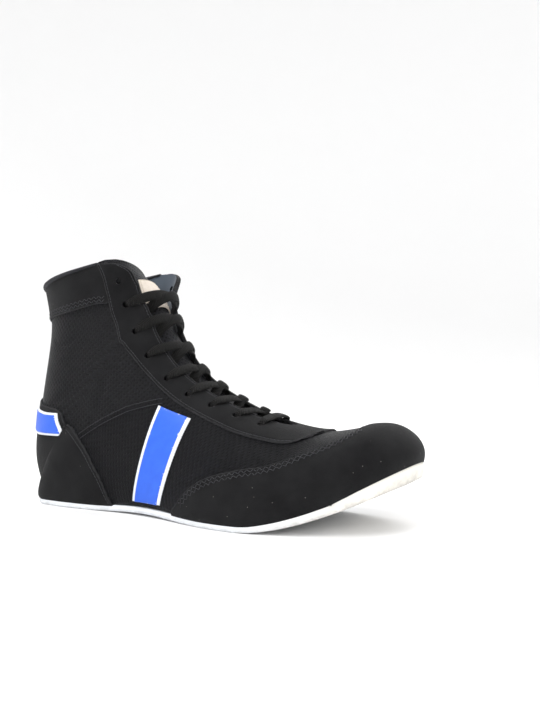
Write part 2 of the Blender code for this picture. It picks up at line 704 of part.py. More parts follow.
def tongue_sheet(places, shares, lift):
    """Sheet under the wall of the closed form; shares below 0 lie on the outer side."""
    under = lift - UPPER_WALL - TONGUE_GAP
    near = lifted(places, np.abs(shares), -1, under, False)
    far = lifted(places, np.abs(shares), 1, under, False)
    points = np.where((shares < 0)[..., None], near, far)
    return points - tongue_lean(places, shares)


def make_tongue():
    """Padded knit tongue under the throat, standing a little above the collar."""
    rows = [k for k in FORM_ROWS if 6.9 < k < 20.9 and k != 7.1]
    places = np.array([*TONGUE_FRONT, *rows, *TONGUE_TOP])
    columns = np.linspace(-1.0, 1.0, 13)
    edge = np.array([edge_at(TONGUE_EDGE, k) for k in places])
    shares = edge[:, None] * columns[None]
    grid_places = np.repeat(places[:, None], len(columns), axis=1)
    points = tongue_sheet(grid_places, shares, 0.0)
    return solid_from_sheet("tongue", [(points, True)], -TONGUE_THICKNESS, BLACK_KNIT, 0.9)


def make_label():
    """Plain woven label sewn on the tongue."""
    places = np.array([LABEL_PLACES[0], *[k for k in FORM_ROWS if LABEL_PLACES[0] < k < LABEL_PLACES[1]],
                       LABEL_PLACES[1]])
    low, high = LABEL_SHARES
    shares = np.array([low, 0.65 * low, 0.3 * low, 0.0, 0.4 * high, 0.75 * high, high])
    grid_places, grid_shares = np.meshgrid(places, shares, indexing="ij")
    points = tongue_sheet(grid_places, grid_shares, LABEL_GAP)
    return solid_from_sheet("tongue_label", [(points, True)], LABEL_THICKNESS, BEIGE, 0.7)


def saddle_edges(share, widen):
    """Rear and front places of the saddle band at a share of the half girth."""
    t = (share - SADDLE_SHARES[0]) / (SADDLE_SHARES[1] - SADDLE_SHARES[0])
    front = SADDLE_TOP[0] + (SADDLE_FOOT[0] - SADDLE_TOP[0]) * t
    rear = SADDLE_TOP[1] + (SADDLE_FOOT[1] - SADDLE_TOP[1]) * t
    extra = widen * (rear - front)
    return front - extra, rear + extra


def heel_band_edges(share, widen):
    """Lower and upper places of the heel band at a share."""
    low = edge_at(HEEL_BAND_LOWER, share)
    high = edge_at(HEEL_BAND_UPPER, share)
    extra = widen * (high - low)
    return place_at_height(share, low - extra), place_at_height(share, high + extra)


EDGING_SHARE = 0.014
TRIM_LAYERS = (
    ("edging", 0.12, OVERLAY_GAP, UNDERLAY, WHITE),
    ("band", 0.0, OVERLAY_GAP + GAP + UNDERLAY, UNDERLAY, BLUE),
)


def make_trim():
    """White edged blue bands: one down each side at the waist and one around the heel."""
    for side, word in ((-1, "outer"), (1, "inner")):
        for layer, widen, lift, thickness, colour in TRIM_LAYERS:
            low = lambda c: saddle_edges(c, widen)[0]
            high = lambda c: saddle_edges(c, widen)[1]
            sheet = strip_sheet(SADDLE_SHARES, low, high, side, lift)
            solid_from_sheet("saddle_%s_%s" % (layer, word), [sheet], thickness, colour, 0.5)
    for layer, widen, lift, thickness, colour in TRIM_LAYERS:
        low = lambda c: heel_band_edges(c, widen)[0]
        high = lambda c: heel_band_edges(c, widen)[1]
        shares = (HEEL_BAND_LOWER[0][0] - EDGING_SHARE * (widen > 0), 1.0)
        own = [row[0] for row in COUNTER_FRONT[2:4]]
        over = lift + OVERLAY + HEEL_TRIM_GAP
        sheets = [strip_sheet(shares, low, high, side, over, own) for side in (-1, 1)]
        solid_from_sheet("heel_" + layer, sheets, thickness, colour, 0.5)


def eyelet_share(place):
    """Share of the eyelet line at a place."""
    table = np.array(EYELET_LINE)
    return float(np.interp(place, table[:, 0], table[:, 1]))


def eyelet_point(index, side, lift):
    """Point over an eyelet, and the form's outward direction there."""
    place = np.array([EYELET_PLACES[index]])
    share = np.array([eyelet_share(place[0])])
    point = lifted(place, share, side, lift)[0]
    return point, form_normals(place, share, side)[0]


def punch_eyelets(targets):
    """Cut the eyelet holes through the wall and the eyestay."""
    bm = bmesh.new()
    for side in (-1, 1):
        for index in range(len(EYELET_PLACES)):
            point, normal = eyelet_point(index, side, 0.0)
            turn = Vector(normal).to_track_quat("Z", "Y").to_matrix().to_4x4()
            bmesh.ops.create_cone(bm, cap_ends=True, segments=6, radius1=EYELET_DIAMETER / 2,
                                  radius2=EYELET_DIAMETER / 2, depth=4 * UPPER_WALL,
                                  matrix=Matrix.Translation(Vector(point)) @ turn)
    punch = add_object("eyelet_punch", bm, WHITE, 0.5, cutters)
    for target in targets:
        cut_from(target, punch)


def lace_path(start, end, stations, over, hump):
    """Points and outward directions of a lace from one side of the throat to the other."""
    (index_a, side_a), (index_b, side_b) = start, end
    t = np.linspace(-LACE_TAIL, 1.0 + LACE_TAIL, stations)
    place = EYELET_PLACES[index_a] * (1 - t) + EYELET_PLACES[index_b] * t
    signed = side_a * eyelet_share(EYELET_PLACES[index_a]) * (1 - t)
    signed = signed + side_b * eyelet_share(EYELET_PLACES[index_b]) * t
    base = OVERLAY_GAP + OVERLAY + LACE_CLEARANCE + LACE_THICKNESS / 2 + over
    lift = base + hump * np.sin(math.pi * t) ** 2
    points = np.zeros((stations, 3))
    normals = np.zeros((stations, 3))
    for i in range(stations):
        side = -1 if signed[i] < 0 else 1
        k, c = np.array([place[i]]), np.array([abs(signed[i])])
        normals[i] = form_normals(k, c, side)[0]
        points[i] = lifted(k, c, side, lift[i])[0]
    return points, normals


def add_ribbon(bm, points, normals, width, thickness):
    """A flat lace of four sides along a path, closed at both ends."""
    tangent = np.gradient(points, axis=0)
    tangent /= np.linalg.norm(tangent, axis=1, keepdims=True)
    across = np.cross(tangent, normals)
    across /= np.linalg.norm(across, axis=1, keepdims=True)
    out = np.cross(across, tangent)
    corners = ((-0.5, 0.5), (0.5, 0.5), (0.5, -0.5), (-0.5, -0.5))
    rings = []
    for i in range(len(points)):
        ring = [points[i] + across[i] * a * width + out[i] * b * thickness for a, b in corners]
        rings.append([bm.verts.new(p) for p in ring])
    for a, b in zip(rings[:-1], rings[1:]):
        for i in range(len(corners)):
            j = (i + 1) % len(corners)
            bm.faces.new([a[i], a[j], b[j], b[i]])
    bm.faces.new(rings[0][::-1])
    bm.faces.new(rings[-1])
    bmesh.ops.recalc_face_normals(bm, faces=bm.faces)


def make_laces():
    """Crossing laces over the throat, joined to one solid; the top pair of eyelets stays empty."""
    runs = []
    last = len(EYELET_PLACES) - 1
    for index in range(FIRST_LACED, last):
        for side in (-1, 1):
            runs.append(((index, side), (index + 1, -side)))
    runs.append(((last, -1), (last, 1)))
    whole = None
    for number, (start, end) in enumerate(runs):
        over = LACE_OVER if start[1] > 0 else 0.0
        points, normals = lace_path(start, end, 6, over, LACE_HUMP)
        bm = bmesh.new()
        add_ribbon(bm, points, normals, LACE_WIDTH, LACE_THICKNESS)
        if whole is None:
            whole = add_object("lace_crossings", bm, BLACK_KNIT, 0.8)
            continue
        run = add_object("lace_run_%02d" % number, bm, BLACK_KNIT, 0.8, cutters)
        run.hide_render = True
        run.display_type = "WIRE"
        join = whole.modifiers.new("join_%02d" % number, "BOOLEAN")
        join.operation = "UNION"
        join.object = run
        join.solver = "EXACT"
    return whole


def main():
    """Build the shoe piece by piece."""
    start_collections()
    make_outsole()
    make_insole()
    upper = make_upper()
    make_tongue()
    eyestay = make_eyestay()
    make_toe_cap()
    make_counter()
    make_backstay()
    make_collar()
    make_label()
    make_trim()
    punch_eyelets([upper, eyestay])
    make_laces()


main()
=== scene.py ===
"""Wrestling shoe for the right foot, empty and standing on its sole: thin rubber sole, high knit mesh
upper with suede overlays, laced throat, plain blue bands. Metres, toe towards +X, outer side -Y."""
import math

import bmesh
import bpy
import numpy as np
from mathutils import Matrix, Quaternion, Vector
from mathutils.kdtree import KDTree


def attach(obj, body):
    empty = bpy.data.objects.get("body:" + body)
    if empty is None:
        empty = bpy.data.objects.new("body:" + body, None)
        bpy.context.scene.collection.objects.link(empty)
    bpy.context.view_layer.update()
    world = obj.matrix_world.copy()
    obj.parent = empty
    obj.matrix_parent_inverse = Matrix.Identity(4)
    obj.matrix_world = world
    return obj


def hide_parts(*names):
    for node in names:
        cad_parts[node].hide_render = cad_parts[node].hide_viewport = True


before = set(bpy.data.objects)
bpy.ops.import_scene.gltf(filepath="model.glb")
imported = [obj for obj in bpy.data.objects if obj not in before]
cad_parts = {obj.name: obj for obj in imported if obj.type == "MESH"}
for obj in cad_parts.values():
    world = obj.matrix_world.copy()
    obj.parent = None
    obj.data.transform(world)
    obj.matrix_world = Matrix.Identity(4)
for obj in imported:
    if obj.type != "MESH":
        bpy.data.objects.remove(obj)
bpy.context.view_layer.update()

# Camera
# A short lens near the floor, in front of the outer side and a little towards the toe. Its place was
# read from the way the sole and the collar run in the picture.
CAMERA_AZIMUTH = math.radians(28.0)
CAMERA_ELEVATION = math.radians(-0.6)
CAMERA_ROLL = math.radians(0.1)
CAMERA_DISTANCE = 0.502
CAMERA_TARGET = Vector((0.0470, -0.0015, 0.1004))
LENS = 39.58

camera = bpy.data.objects.new("camera", bpy.data.cameras.new("camera"))
bpy.context.scene.collection.objects.link(camera)
camera_back = Vector((math.sin(CAMERA_AZIMUTH) * math.cos(CAMERA_ELEVATION),
                      -math.cos(CAMERA_AZIMUTH) * math.cos(CAMERA_ELEVATION),
                      math.sin(CAMERA_ELEVATION)))
camera.location = CAMERA_TARGET + camera_back * CAMERA_DISTANCE
camera.rotation_mode = "QUATERNION"
turn = (-camera_back).to_track_quat("-Z", "Y")
camera.rotation_quaternion = Quaternion(camera_back, CAMERA_ROLL) @ turn
camera.data.lens = LENS
camera.data.sensor_width = 36.0
camera.data.clip_start = 0.01
bpy.context.scene.camera = camera


# Floor and light
# A white table that curves up into a white wall all round, as in a product photograph, and large
# soft lights from above, from the front and low from the toe's side.
def linear(code):
    """Linear colour of an sRGB hex value."""
    parts = [int(code[i:i + 2], 16) / 255 for i in (1, 3, 5)]
    return (*[p / 12.92 if p <= 0.04045 else ((p + 0.055) / 1.055) ** 2.4 for p in parts], 1.0)


def put(tree, kind, inputs=None, **settings):
    """Add a node with its settings; an input is given a value, or a socket to be linked to."""
    node = tree.nodes.new(kind)
    for name, value in settings.items():
        setattr(node, name, value)
    for name, value in (inputs or {}).items():
        if isinstance(value, bpy.types.NodeSocket):
            tree.links.new(value, node.inputs[name])
        else:
            node.inputs[name].default_value = value
    return node


def new_material(name, **uniform):
    """A Principled material with its uniform values set on the shader itself."""
    made = bpy.data.materials.new(name)
    made.use_nodes = True
    shader = made.node_tree.nodes["Principled BSDF"]
    for socket, value in uniform.items():
        shader.inputs[socket.replace("_", " ")].default_value = value
    return made, made.node_tree, shader


BACKDROP_RADIUS = 1.5
COVE_RADIUS = 0.8
WALL_TOP = 2.2

cove_turn = np.linspace(0.0, math.pi / 2, 14)
profile = [(0.0, 0.0), (BACKDROP_RADIUS, 0.0)]
profile += [(BACKDROP_RADIUS + COVE_RADIUS * math.sin(a), COVE_RADIUS * (1 - math.cos(a)))
            for a in cove_turn[1:]]
profile += [(BACKDROP_RADIUS + COVE_RADIUS, WALL_TOP)]
bm = bmesh.new()
line = [bm.verts.new((r, 0.0, z)) for r, z in profile]
edges = [bm.edges.new(pair) for pair in zip(line[:-1], line[1:])]
bmesh.ops.spin(bm, geom=line + edges, cent=(0, 0, 0), axis=(0, 0, 1), angle=2 * math.pi, steps=96,
               use_merge=True)
bmesh.ops.remove_doubles(bm, verts=bm.verts, dist=1e-6)
bmesh.ops.recalc_face_normals(bm, faces=bm.faces)
mesh = bpy.data.meshes.new("backdrop")
bm.to_mesh(mesh)
bm.free()
mesh.shade_smooth()
backdrop = bpy.data.objects.new("backdrop", mesh)
bpy.context.scene.collection.objects.link(backdrop)
paper, tree, shader = new_material("white_paper_sweep", Roughness=0.9)
shader.inputs["Base Color"].default_value = linear("#F4F4F4")
shader.inputs["Specular IOR Level"].default_value = 0.1
mesh.materials.append(paper)

# name, place, aimed at, width, height, power
LIGHTS = (
    ("key_above", (-0.25, -0.75, 1.25), (0.0, 0.0, 0.05), 1.1, 0.9, 13.0),
    ("fill_front", (0.85, -0.95, 0.55), (0.05, 0.0, 0.07), 0.9, 0.8, 5.0),
    ("back_above", (0.15, 0.95, 1.15), (0.0, 0.0, 0.08), 1.2, 0.7, 9.0),
)
for name, place, aim, width, height, power in LIGHTS:
    lamp = bpy.data.lights.new(name, "AREA")
    lamp.shape = "RECTANGLE"
    lamp.size = width
    lamp.size_y = height
    lamp.energy = power
    light = bpy.data.objects.new(name, lamp)
    bpy.context.scene.collection.objects.link(light)
    light.location = place
    light.rotation_mode = "QUATERNION"
    light.rotation_quaternion = (Vector(aim) - Vector(place)).to_track_quat("-Z", "Y")

world = bpy.data.worlds.new("studio")
bpy.context.scene.world = world
world.use_nodes = True
world.node_tree.nodes["Background"].inputs["Color"].default_value = (1.0, 1.0, 1.0, 1.0)
world.node_tree.nodes["Background"].inputs["Strength"].default_value = 0.9
bpy.context.scene.view_settings.view_transform = "Standard"


# Knit mesh wall
# The upper's wall: black polyester mesh with staggered open cells, cut as a quarter and a vamp and
# bonded to a blue grey nylon lining. It is pulled over a last, so its shape is the last's own form.
LENGTH = 0.284
BALL_WIDTH = 0.096
INSTEP_HEIGHT = 0.0725
COLLAR_HEIGHT = 0.150
TOE_SPRING = 0.032
SOLE_SIDE = 0.0045
SOLE_SIDE_TOE = 0.0085
ARCH_LIFT = 0.0015
HEEL_ROLL = 0.0020
HEEL_END = 0.032
HEEL_CAP = 0.10
SPRING_START = 0.67
SPRING_POWER = 1.7
ARCH_PLACE = 0.40
ARCH_REACH = 0.18

# Outline of the sole: along (share of length), centre and half width (shares of ball width)
SOLE_PLAN = (
    (0.020, 0.000, 0.125), (0.055, 0.000, 0.234), (0.100, 0.000, 0.292), (0.160, 0.000, 0.312),
    (0.280, -0.008, 0.297), (0.400, -0.026, 0.307), (0.530, -0.042, 0.391), (0.650, -0.026, 0.474),
    (0.750, 0.016, 0.484), (0.860, 0.068, 0.411), (0.930, 0.099, 0.312),
)
# Cross sections from the rim of the toe to the collar: base along (share of length), base rise (None
# on the sole's edge), top along, top rise, half width and level of the widest place, ridge, fullness
SECTIONS = (
    (0.856, None, 0.9880, 0.545, 0.408, 0.03, 0.135, 0.06),
    (0.845, None, 0.9900, 0.635, 0.424, 0.10, 0.130, 0.10),
    (0.827, None, 0.9780, 0.732, 0.446, 0.16, 0.125, 0.14),
    (0.803, None, 0.9510, 0.810, 0.468, 0.20, 0.120, 0.18),
    (0.771, None, 0.9130, 0.840, 0.485, 0.24, 0.109, 0.20),
    (0.729, None, 0.8550, 0.807, 0.497, 0.27, 0.094, 0.18),
    (0.680, None, 0.7880, 0.773, 0.500, 0.28, 0.073, 0.16),
    (0.623, None, 0.7210, 0.807, 0.484, 0.28, 0.052, 0.14),
    (0.556, None, 0.6540, 0.883, 0.448, 0.28, 0.031, 0.14),
    (0.479, None, 0.5870, 1.000, 0.391, 0.29, 0.016, 0.16),
    (0.387, None, 0.5230, 1.136, 0.349, 0.30, 0.005, 0.18),
    (0.289, None, 0.4700, 1.290, 0.339, 0.30, 0.000, 0.22),
    (0.190, None, 0.4330, 1.458, 0.342, 0.30, 0.000, 0.26),
    (0.0985, None, 0.4080, 1.626, 0.340, 0.31, 0.000, 0.32),
    (0.050, None, 0.3960, 1.742, 0.334, 0.33, 0.000, 0.36),
    (HEEL_END, None, 0.3870, 1.839, 0.328, 0.36, 0.000, 0.40),
    (0.0075, 0.276, 0.3815, 1.923, 0.326, 0.40, 0.000, 0.42),
    (0.0035, 0.524, 0.3760, 2.000, 0.325, 0.44, 0.000, 0.44),
    (0.0160, 0.910, 0.3725, 2.070, 0.328, 0.47, 0.000, 0.46),
    (0.0370, 1.290, 0.3690, 2.130, 0.339, 0.49, 0.000, 0.46),
    (0.0510, 1.663, 0.3650, 2.188, 0.354, 0.50, 0.000, 0.46),
    (0.0352, 2.000, 0.3600, 2.245, 0.365, 0.50, 0.000, 0.46),
    (0.0180, 2.320, 0.3550, 2.302, 0.372, 0.50, 0.000, 0.46),
)
HEEL_SECTION = 15
COLLAR_SECTION = len(SECTIONS) - 2
# The inner flap of the throat stands open near the collar
FLAP_FLARE = 0.0090
FLARE_START = 16.5
FLARE_RUN = 4.5
FLARE_FULL = 0.15
FLARE_END = 0.52


def spline(xs, ys, at):
    """Natural cubic spline through the rows of ys, read at the places given."""
    xs = np.asarray(xs, float)
    ys = np.asarray(ys, float).reshape(len(xs), -1)
    count = len(xs)
    step = np.diff(xs)
    matrix = np.eye(count)
    right = np.zeros_like(ys)
    for i in range(1, count - 1):
        matrix[i, i - 1:i + 2] = step[i - 1], 2 * (step[i - 1] + step[i]), step[i]
        right[i] = 6 * ((ys[i + 1] - ys[i]) / step[i] - (ys[i] - ys[i - 1]) / step[i - 1])
    bend = np.linalg.solve(matrix, right)
    at = np.atleast_1d(np.asarray(at, float))
    j = np.clip(np.searchsorted(xs, at) - 1, 0, count - 2)
    gone = (at - xs[j])[:, None]
    left = (xs[j + 1] - at)[:, None]
    h = step[j][:, None]
    curved = (bend[j] * left ** 3 + bend[j + 1] * gone ** 3) / (6 * h)
    return curved + (ys[j] / h - bend[j] * h / 6) * left + (ys[j + 1] / h - bend[j + 1] * h / 6) * gone


def smooth(t):
    """Soft step from 0 to 1."""
    t = np.clip(t, 0.0, 1.0)
    return t * t * (3.0 - 2.0 * t)


def sole_underside(x):
    """Height of the ground face of the sole along the foot, x from the heel."""
    share = np.asarray(x) / LENGTH
    toe = np.clip((share - SPRING_START) / (1.0 - SPRING_START), 0.0, 1.2)
    heel = np.clip((0.06 - share) / 0.06, 0.0, 1.0)
    arch = smooth(1.0 - np.abs(share - ARCH_PLACE) / ARCH_REACH)
    return TOE_SPRING * toe ** SPRING_POWER + HEEL_ROLL * heel ** 2 + ARCH_LIFT * arch


def feather_height(x):
    """Height of the line where the upper meets the sole."""
    toe = np.clip((np.asarray(x) / LENGTH - 0.70) / 0.30, 0.0, 1.0)
    return sole_underside(x) + SOLE_SIDE + (SOLE_SIDE_TOE - SOLE_SIDE) * toe


def sole_half_width(x):
    """Half width of the sole's top, rounded off at the heel."""
    share = np.asarray(x) / LENGTH
    plan = np.array(SOLE_PLAN)
    wide = spline(plan[:, 0], plan[:, 2], share).ravel()
    t = np.clip((share - HEEL_END) / (HEEL_CAP - HEEL_END), 0.0, 1.0)
    cap = plan[2, 2] * np.sqrt(1.0 - (1.0 - t) ** 2)
    return np.where(share < HEEL_CAP, cap, wide) * BALL_WIDTH


def sole_centre(x):
    """Sideways place of the sole's middle line."""
    plan = np.array(SOLE_PLAN)
    share = np.maximum(np.asarray(x) / LENGTH, plan[0, 0])
    return spline(plan[:, 0], plan[:, 1], share).ravel() * BALL_WIDTH


def rise(value):
    """Height from a rise: up to 1 on the instep, above 1 on towards the collar."""
    value = np.asarray(value, float)
    above = (COLLAR_HEIGHT - INSTEP_HEIGHT) * np.maximum(value - 1.0, 0.0)
    return INSTEP_HEIGHT * np.minimum(value, 1.0) + above


SECTION_ROWS = np.array([
    (base * LENGTH, feather_height(base * LENGTH) if low is None else rise(low), top * LENGTH, rise(high),
     half * BALL_WIDTH, level, ridge * BALL_WIDTH, full)
    for base, low, top, high, half, level, ridge, full in SECTIONS], float)


def half_sections(places, side, steps=160):
    """Points of half cross sections, from the ridge down to the sole's edge, on one side (-1 or 1)."""
    places = np.atleast_1d(np.asarray(places, float))
    rows = spline(np.arange(len(SECTIONS)), SECTION_ROWS, places)
    base_x, base_z, top_x, top_z, half, level, ridge, full = [rows[:, i:i + 1] for i in range(8)]
    on_sole = places[:, None] < HEEL_SECTION
    foot = np.where(on_sole, sole_half_width(base_x[:, 0])[:, None], 0.0)
    middle = np.where(on_sole, sole_centre(base_x[:, 0])[:, None], 0.0)
    base_z = np.where(on_sole, feather_height(base_x), base_z)
    height = np.hypot(top_x - base_x, top_z - base_z)
    angle = np.linspace(math.pi / 2, -math.pi / 2, steps)[None]
    wide_above = half * np.cos(angle) * (1 + full * np.sin(angle) ** 2)
    low_share = 1 + np.sin(angle)
    swell = np.where(half > foot, np.cos(angle), smooth(low_share))
    wide = np.where(angle >= 0, wide_above, foot + (half - foot) * swell)
    up = np.where(angle >= 0, height * (level + (1 - level) * np.sin(angle)), height * level * low_share)
    y = middle + (ridge - middle) * up / height + side * wide
    return np.stack([base_x + (top_x - base_x) / height * up, y, base_z + (top_z - base_z) / height * up], -1)


# The form is read once into a fine table: rows are places, columns run from the outer sole edge
# (across -1) over the ridge (0) to the inner one (1) and a little further round the back seam.
PLACE_STEP = 0.025
SHARES = 300
WRAP = 24
form_places = np.arange(0.0, COLLAR_SECTION + 1 + PLACE_STEP / 2, PLACE_STEP)


def even_columns(side):
    """Half sections with their points set evenly over the girth, and each half girth."""
    lines = half_sections(form_places, side)
    run = np.zeros(lines.shape[:2])
    run[:, 1:] = np.cumsum(np.linalg.norm(np.diff(lines, axis=1), axis=2), axis=1)
    even = np.array([[np.interp(np.linspace(0, r[-1], SHARES + 1), r, line[:, axis]) for axis in range(3)]
                     for r, line in zip(run, lines)]).transpose(0, 2, 1)
    return even, run[:, -1]


outer_half, outer_girth = even_columns(-1)
inner_half, inner_girth = even_columns(1)
ORIGIN = np.array([(outer_half[..., 0].min() + outer_half[..., 0].max()) / 2,
                   (outer_half[..., 1].min() + inner_half[..., 1].max()) / 2, 0.0])


def wrapped(half, other):
    """Columns that carry a half section on past its end: round the back seam, or straight on."""
    behind = other[:, SHARES - 1:SHARES - WRAP - 1:-1]
    onward = half[:, -1:] + (half[:, -1:] - half[:, -2:-1]) * np.arange(1, WRAP + 1)[None, :, None]
    return np.where((form_places < HEEL_SECTION)[:, None, None], onward, behind)


def whole_form(outer, inner):
    """Table of the form's points over both sides, and their outward directions."""
    points = np.concatenate([wrapped(outer, inner)[:, ::-1], outer[:, ::-1], inner[:, 1:],
                             wrapped(inner, outer)], axis=1) - ORIGIN
    out = np.cross(np.gradient(points, axis=1), np.gradient(points, axis=0))
    return points, out / np.maximum(np.linalg.norm(out, axis=2, keepdims=True), 1e-12)


closed_form = whole_form(outer_half, inner_half)
half_shares = np.linspace(0.0, 1.0, SHARES + 1)[None]
flare_share = smooth(half_shares / FLARE_FULL) * smooth((FLARE_END - half_shares) / (FLARE_END - FLARE_FULL))
inner_half[..., 1] += FLAP_FLARE * smooth((form_places[:, None] - FLARE_START) / FLARE_RUN) * flare_share
form, form_out = whole_form(outer_half, inner_half)
form_across = (np.arange(form.shape[1]) - SHARES - WRAP) / SHARES
girth = np.where(form_across[None] < 0, outer_girth[:, None], inner_girth[:, None])

# Creases of wear, as soft troughs and ridges: a line of places and across, height and half width in
# metres. Those at the ankle lie behind the eyestay, those at the ball run down from its foot.
CREASES = (
    (((19.2, -0.72), (18.6, -0.62), (18.2, -0.50)), -0.0007, 0.0016),
    (((17.4, -0.80), (16.6, -0.62), (15.6, -0.48)), -0.0009, 0.0040),
    (((16.6, -0.84), (15.8, -0.66), (14.8, -0.52)), 0.0008, 0.0045),
    (((14.2, -0.34), (13.4, -0.45), (12.8, -0.58)), -0.0008, 0.0038),
    (((8.6, -0.40), (7.9, -0.52), (7.4, -0.66)), -0.0008, 0.0030),
    (((7.7, -0.39), (7.0, -0.50), (6.5, -0.62)), -0.0007, 0.0028),
    (((6.9, -0.38), (6.3, -0.46), (5.9, -0.54)), -0.0005, 0.0024),
    (((17.6, 0.80), (16.8, 0.64), (15.8, 0.50)), -0.0009, 0.0040),
    (((16.8, 0.84), (15.9, 0.68), (15.0, 0.54)), 0.0008, 0.0045),
    (((14.4, 0.34), (13.6, 0.46), (12.9, 0.60)), -0.0008, 0.0038),
    (((8.5, 0.40), (7.8, 0.54), (7.2, 0.68)), -0.0008, 0.0030),
    (((7.5, 0.39), (6.8, 0.51), (6.3, 0.64)), -0.0007, 0.0028),
)


def crease_field():
    """Height of all creases over the form's table; each fades out at its ends."""
    total = np.zeros(form.shape[:2])
    for stops, height, reach in CREASES:
        stops = np.array(stops)
        t = np.linspace(0.0, 1.0, 25)
        at = spline(np.linspace(0.0, 1.0, len(stops)), stops, t)
        rows = np.clip(np.round(at[:, 0] / PLACE_STEP).astype(int), 0, len(form_places) - 1)
        columns = np.round(at[:, 1] * SHARES).astype(int) + SHARES + WRAP
        line = form[rows, columns]
        fade = np.sin(math.pi * np.clip(t, 0.02, 0.98)) ** 0.6
        ridge = np.zeros(form.shape[:2])
        for point, full in zip(line, fade):
            away = ((form - point) ** 2).sum(2)
            ridge = np.maximum(ridge, full * np.exp(-away / reach ** 2))
        total += height * ridge
    return total


form = form + form_out * crease_field()[..., None]


def read_form(table, places, across):
    """Values of a table of the form at pairs of place and across."""
    places, across = np.broadcast_arrays(np.asarray(places, float), np.asarray(across, float))
    row = np.clip(places / PLACE_STEP, 0, len(form_places) - 1.001)
    column = np.clip(across * SHARES + SHARES + WRAP, 0, form.shape[1] - 1.001)
    i, j = row.astype(int), column.astype(int)
    a, b = row - i, column - j
    if table.ndim == 3:
        a, b = a[..., None], b[..., None]
    low = table[i, j] * (1 - b) + table[i, j + 1] * b
    high = table[i + 1, j] * (1 - b) + table[i + 1, j + 1] * b
    return low * (1 - a) + high * a


def on_form(places, across, lift=0.0, tables=None):
    """Points of the form moved outwards by a lift in metres."""
    points, outward = tables or (form, form_out)
    out = read_form(outward, places, across)
    out /= np.maximum(np.linalg.norm(out, axis=-1, keepdims=True), 1e-12)
    return read_form(points, places, across) + out * np.asarray(lift, float)[..., None]


def place_at_height(shares, heights):
    """Places where the lines of shares round the heel and shaft reach heights, in instep heights."""
    rows = np.linspace(HEEL_SECTION, HEEL_SECTION + 5.0, 201)
    pairs = zip(np.atleast_1d(shares), np.atleast_1d(heights))
    return np.array([np.interp(h * INSTEP_HEIGHT, read_form(form[..., 2], rows, -c), rows) for c, h in pairs])


# How the flat cloth lies on the form, in millimetres: the vamp is cut along the ridge and over the
# girth, the quarter level with the ground and round from the back seam.
step_along = np.linalg.norm(np.diff(form, axis=0), axis=2)
along_vamp = np.zeros(form.shape[:2])
along_vamp[1:] = np.cumsum(step_along, axis=0)
step_across = np.diff(form, axis=1)
level_step = np.sqrt(np.maximum((step_across ** 2).sum(2) - step_across[..., 2] ** 2, 0.0))
middle_column = SHARES + WRAP
edge_run = np.zeros((len(form_places), 2))
for column, side in ((0, WRAP), (1, WRAP + 2 * SHARES)):
    walk = np.hypot(np.diff(form[:, side, 0]), np.diff(form[:, side, 1]))
    walk = np.where(form_places[1:] <= HEEL_SECTION, walk, 0.0)
    edge_run[:-1, column] = np.cumsum(walk[::-1])[::-1]
level_run = np.zeros(form.shape[:2])
to_middle = np.cumsum(level_step[:, WRAP:middle_column], axis=1)
level_run[:, WRAP + 1:middle_column + 1] = to_middle
level_run[:, WRAP:middle_column + 1] += edge_run[:, :1]
back_in = np.cumsum(level_step[:, middle_column:middle_column + SHARES][:, ::-1], axis=1)[:, ::-1]
level_run[:, middle_column + 1:middle_column + SHARES] = back_in[:, 1:]
level_run[:, middle_column + 1:] += edge_run[:, 1:]


def vamp_lay(places, across):
    """Millimetres over the girth and along the foot."""
    width = read_form(girth * form_across[None], places, across)
    return np.stack([width, read_form(along_vamp, places, across)], -1) * 1000


def quarter_lay(places, across):
    """Millimetres level round the shoe from the back seam, and up from the ground."""
    up = read_form(form[..., 2], places, across)
    return np.stack([read_form(level_run, places, across), up], -1) * 1000


def edge_curve(table, at):
    """Smooth curve through an edge's table that never swings past its rows."""
    table = np.array(table, float)
    x, y = table[:, 0], table[:, 1]
    step, slope = np.diff(x), np.diff(y) / np.diff(x)
    turn = np.zeros(len(x))
    same = slope[:-1] * slope[1:] > 0
    mean = (step[:-1] + step[1:]) * 1.5
    weight = np.where(same, (2 * step[1:] + step[:-1]) / np.where(slope[:-1] == 0, 1, slope[:-1])
                      + (step[1:] + 2 * step[:-1]) / np.where(slope[1:] == 0, 1, slope[1:]), 1.0)
    turn[1:-1] = np.where(same, 2 * mean / weight, 0.0)
    turn[0], turn[-1] = slope[0], slope[-1]
    at = np.clip(np.asarray(at, float), x[0], x[-1])
    i = np.clip(np.searchsorted(x, at) - 1, 0, len(x) - 2)
    t = (at - x[i]) / step[i]
    h = step[i]
    return (y[i] * (1 + 2 * t) * (1 - t) ** 2 + h * turn[i] * t * (1 - t) ** 2
            + y[i + 1] * t * t * (3 - 2 * t) + h * turn[i + 1] * t * t * (t - 1))


def crowd(start, end, step, fine=()):
    """Numbers from start to end about a step apart, with extra ones near both ends."""
    count = max(2, int(round(abs(end - start) / step)) + 1)
    body = np.linspace(start, end, count)
    sign = 1 if end > start else -1
    extra = [start + sign * f for f in fine] + [end - sign * f for f in fine]
    within = [e for e in extra if min(start, end) < e < max(start, end)]
    return np.unique(np.concatenate([body, within]))[::sign]


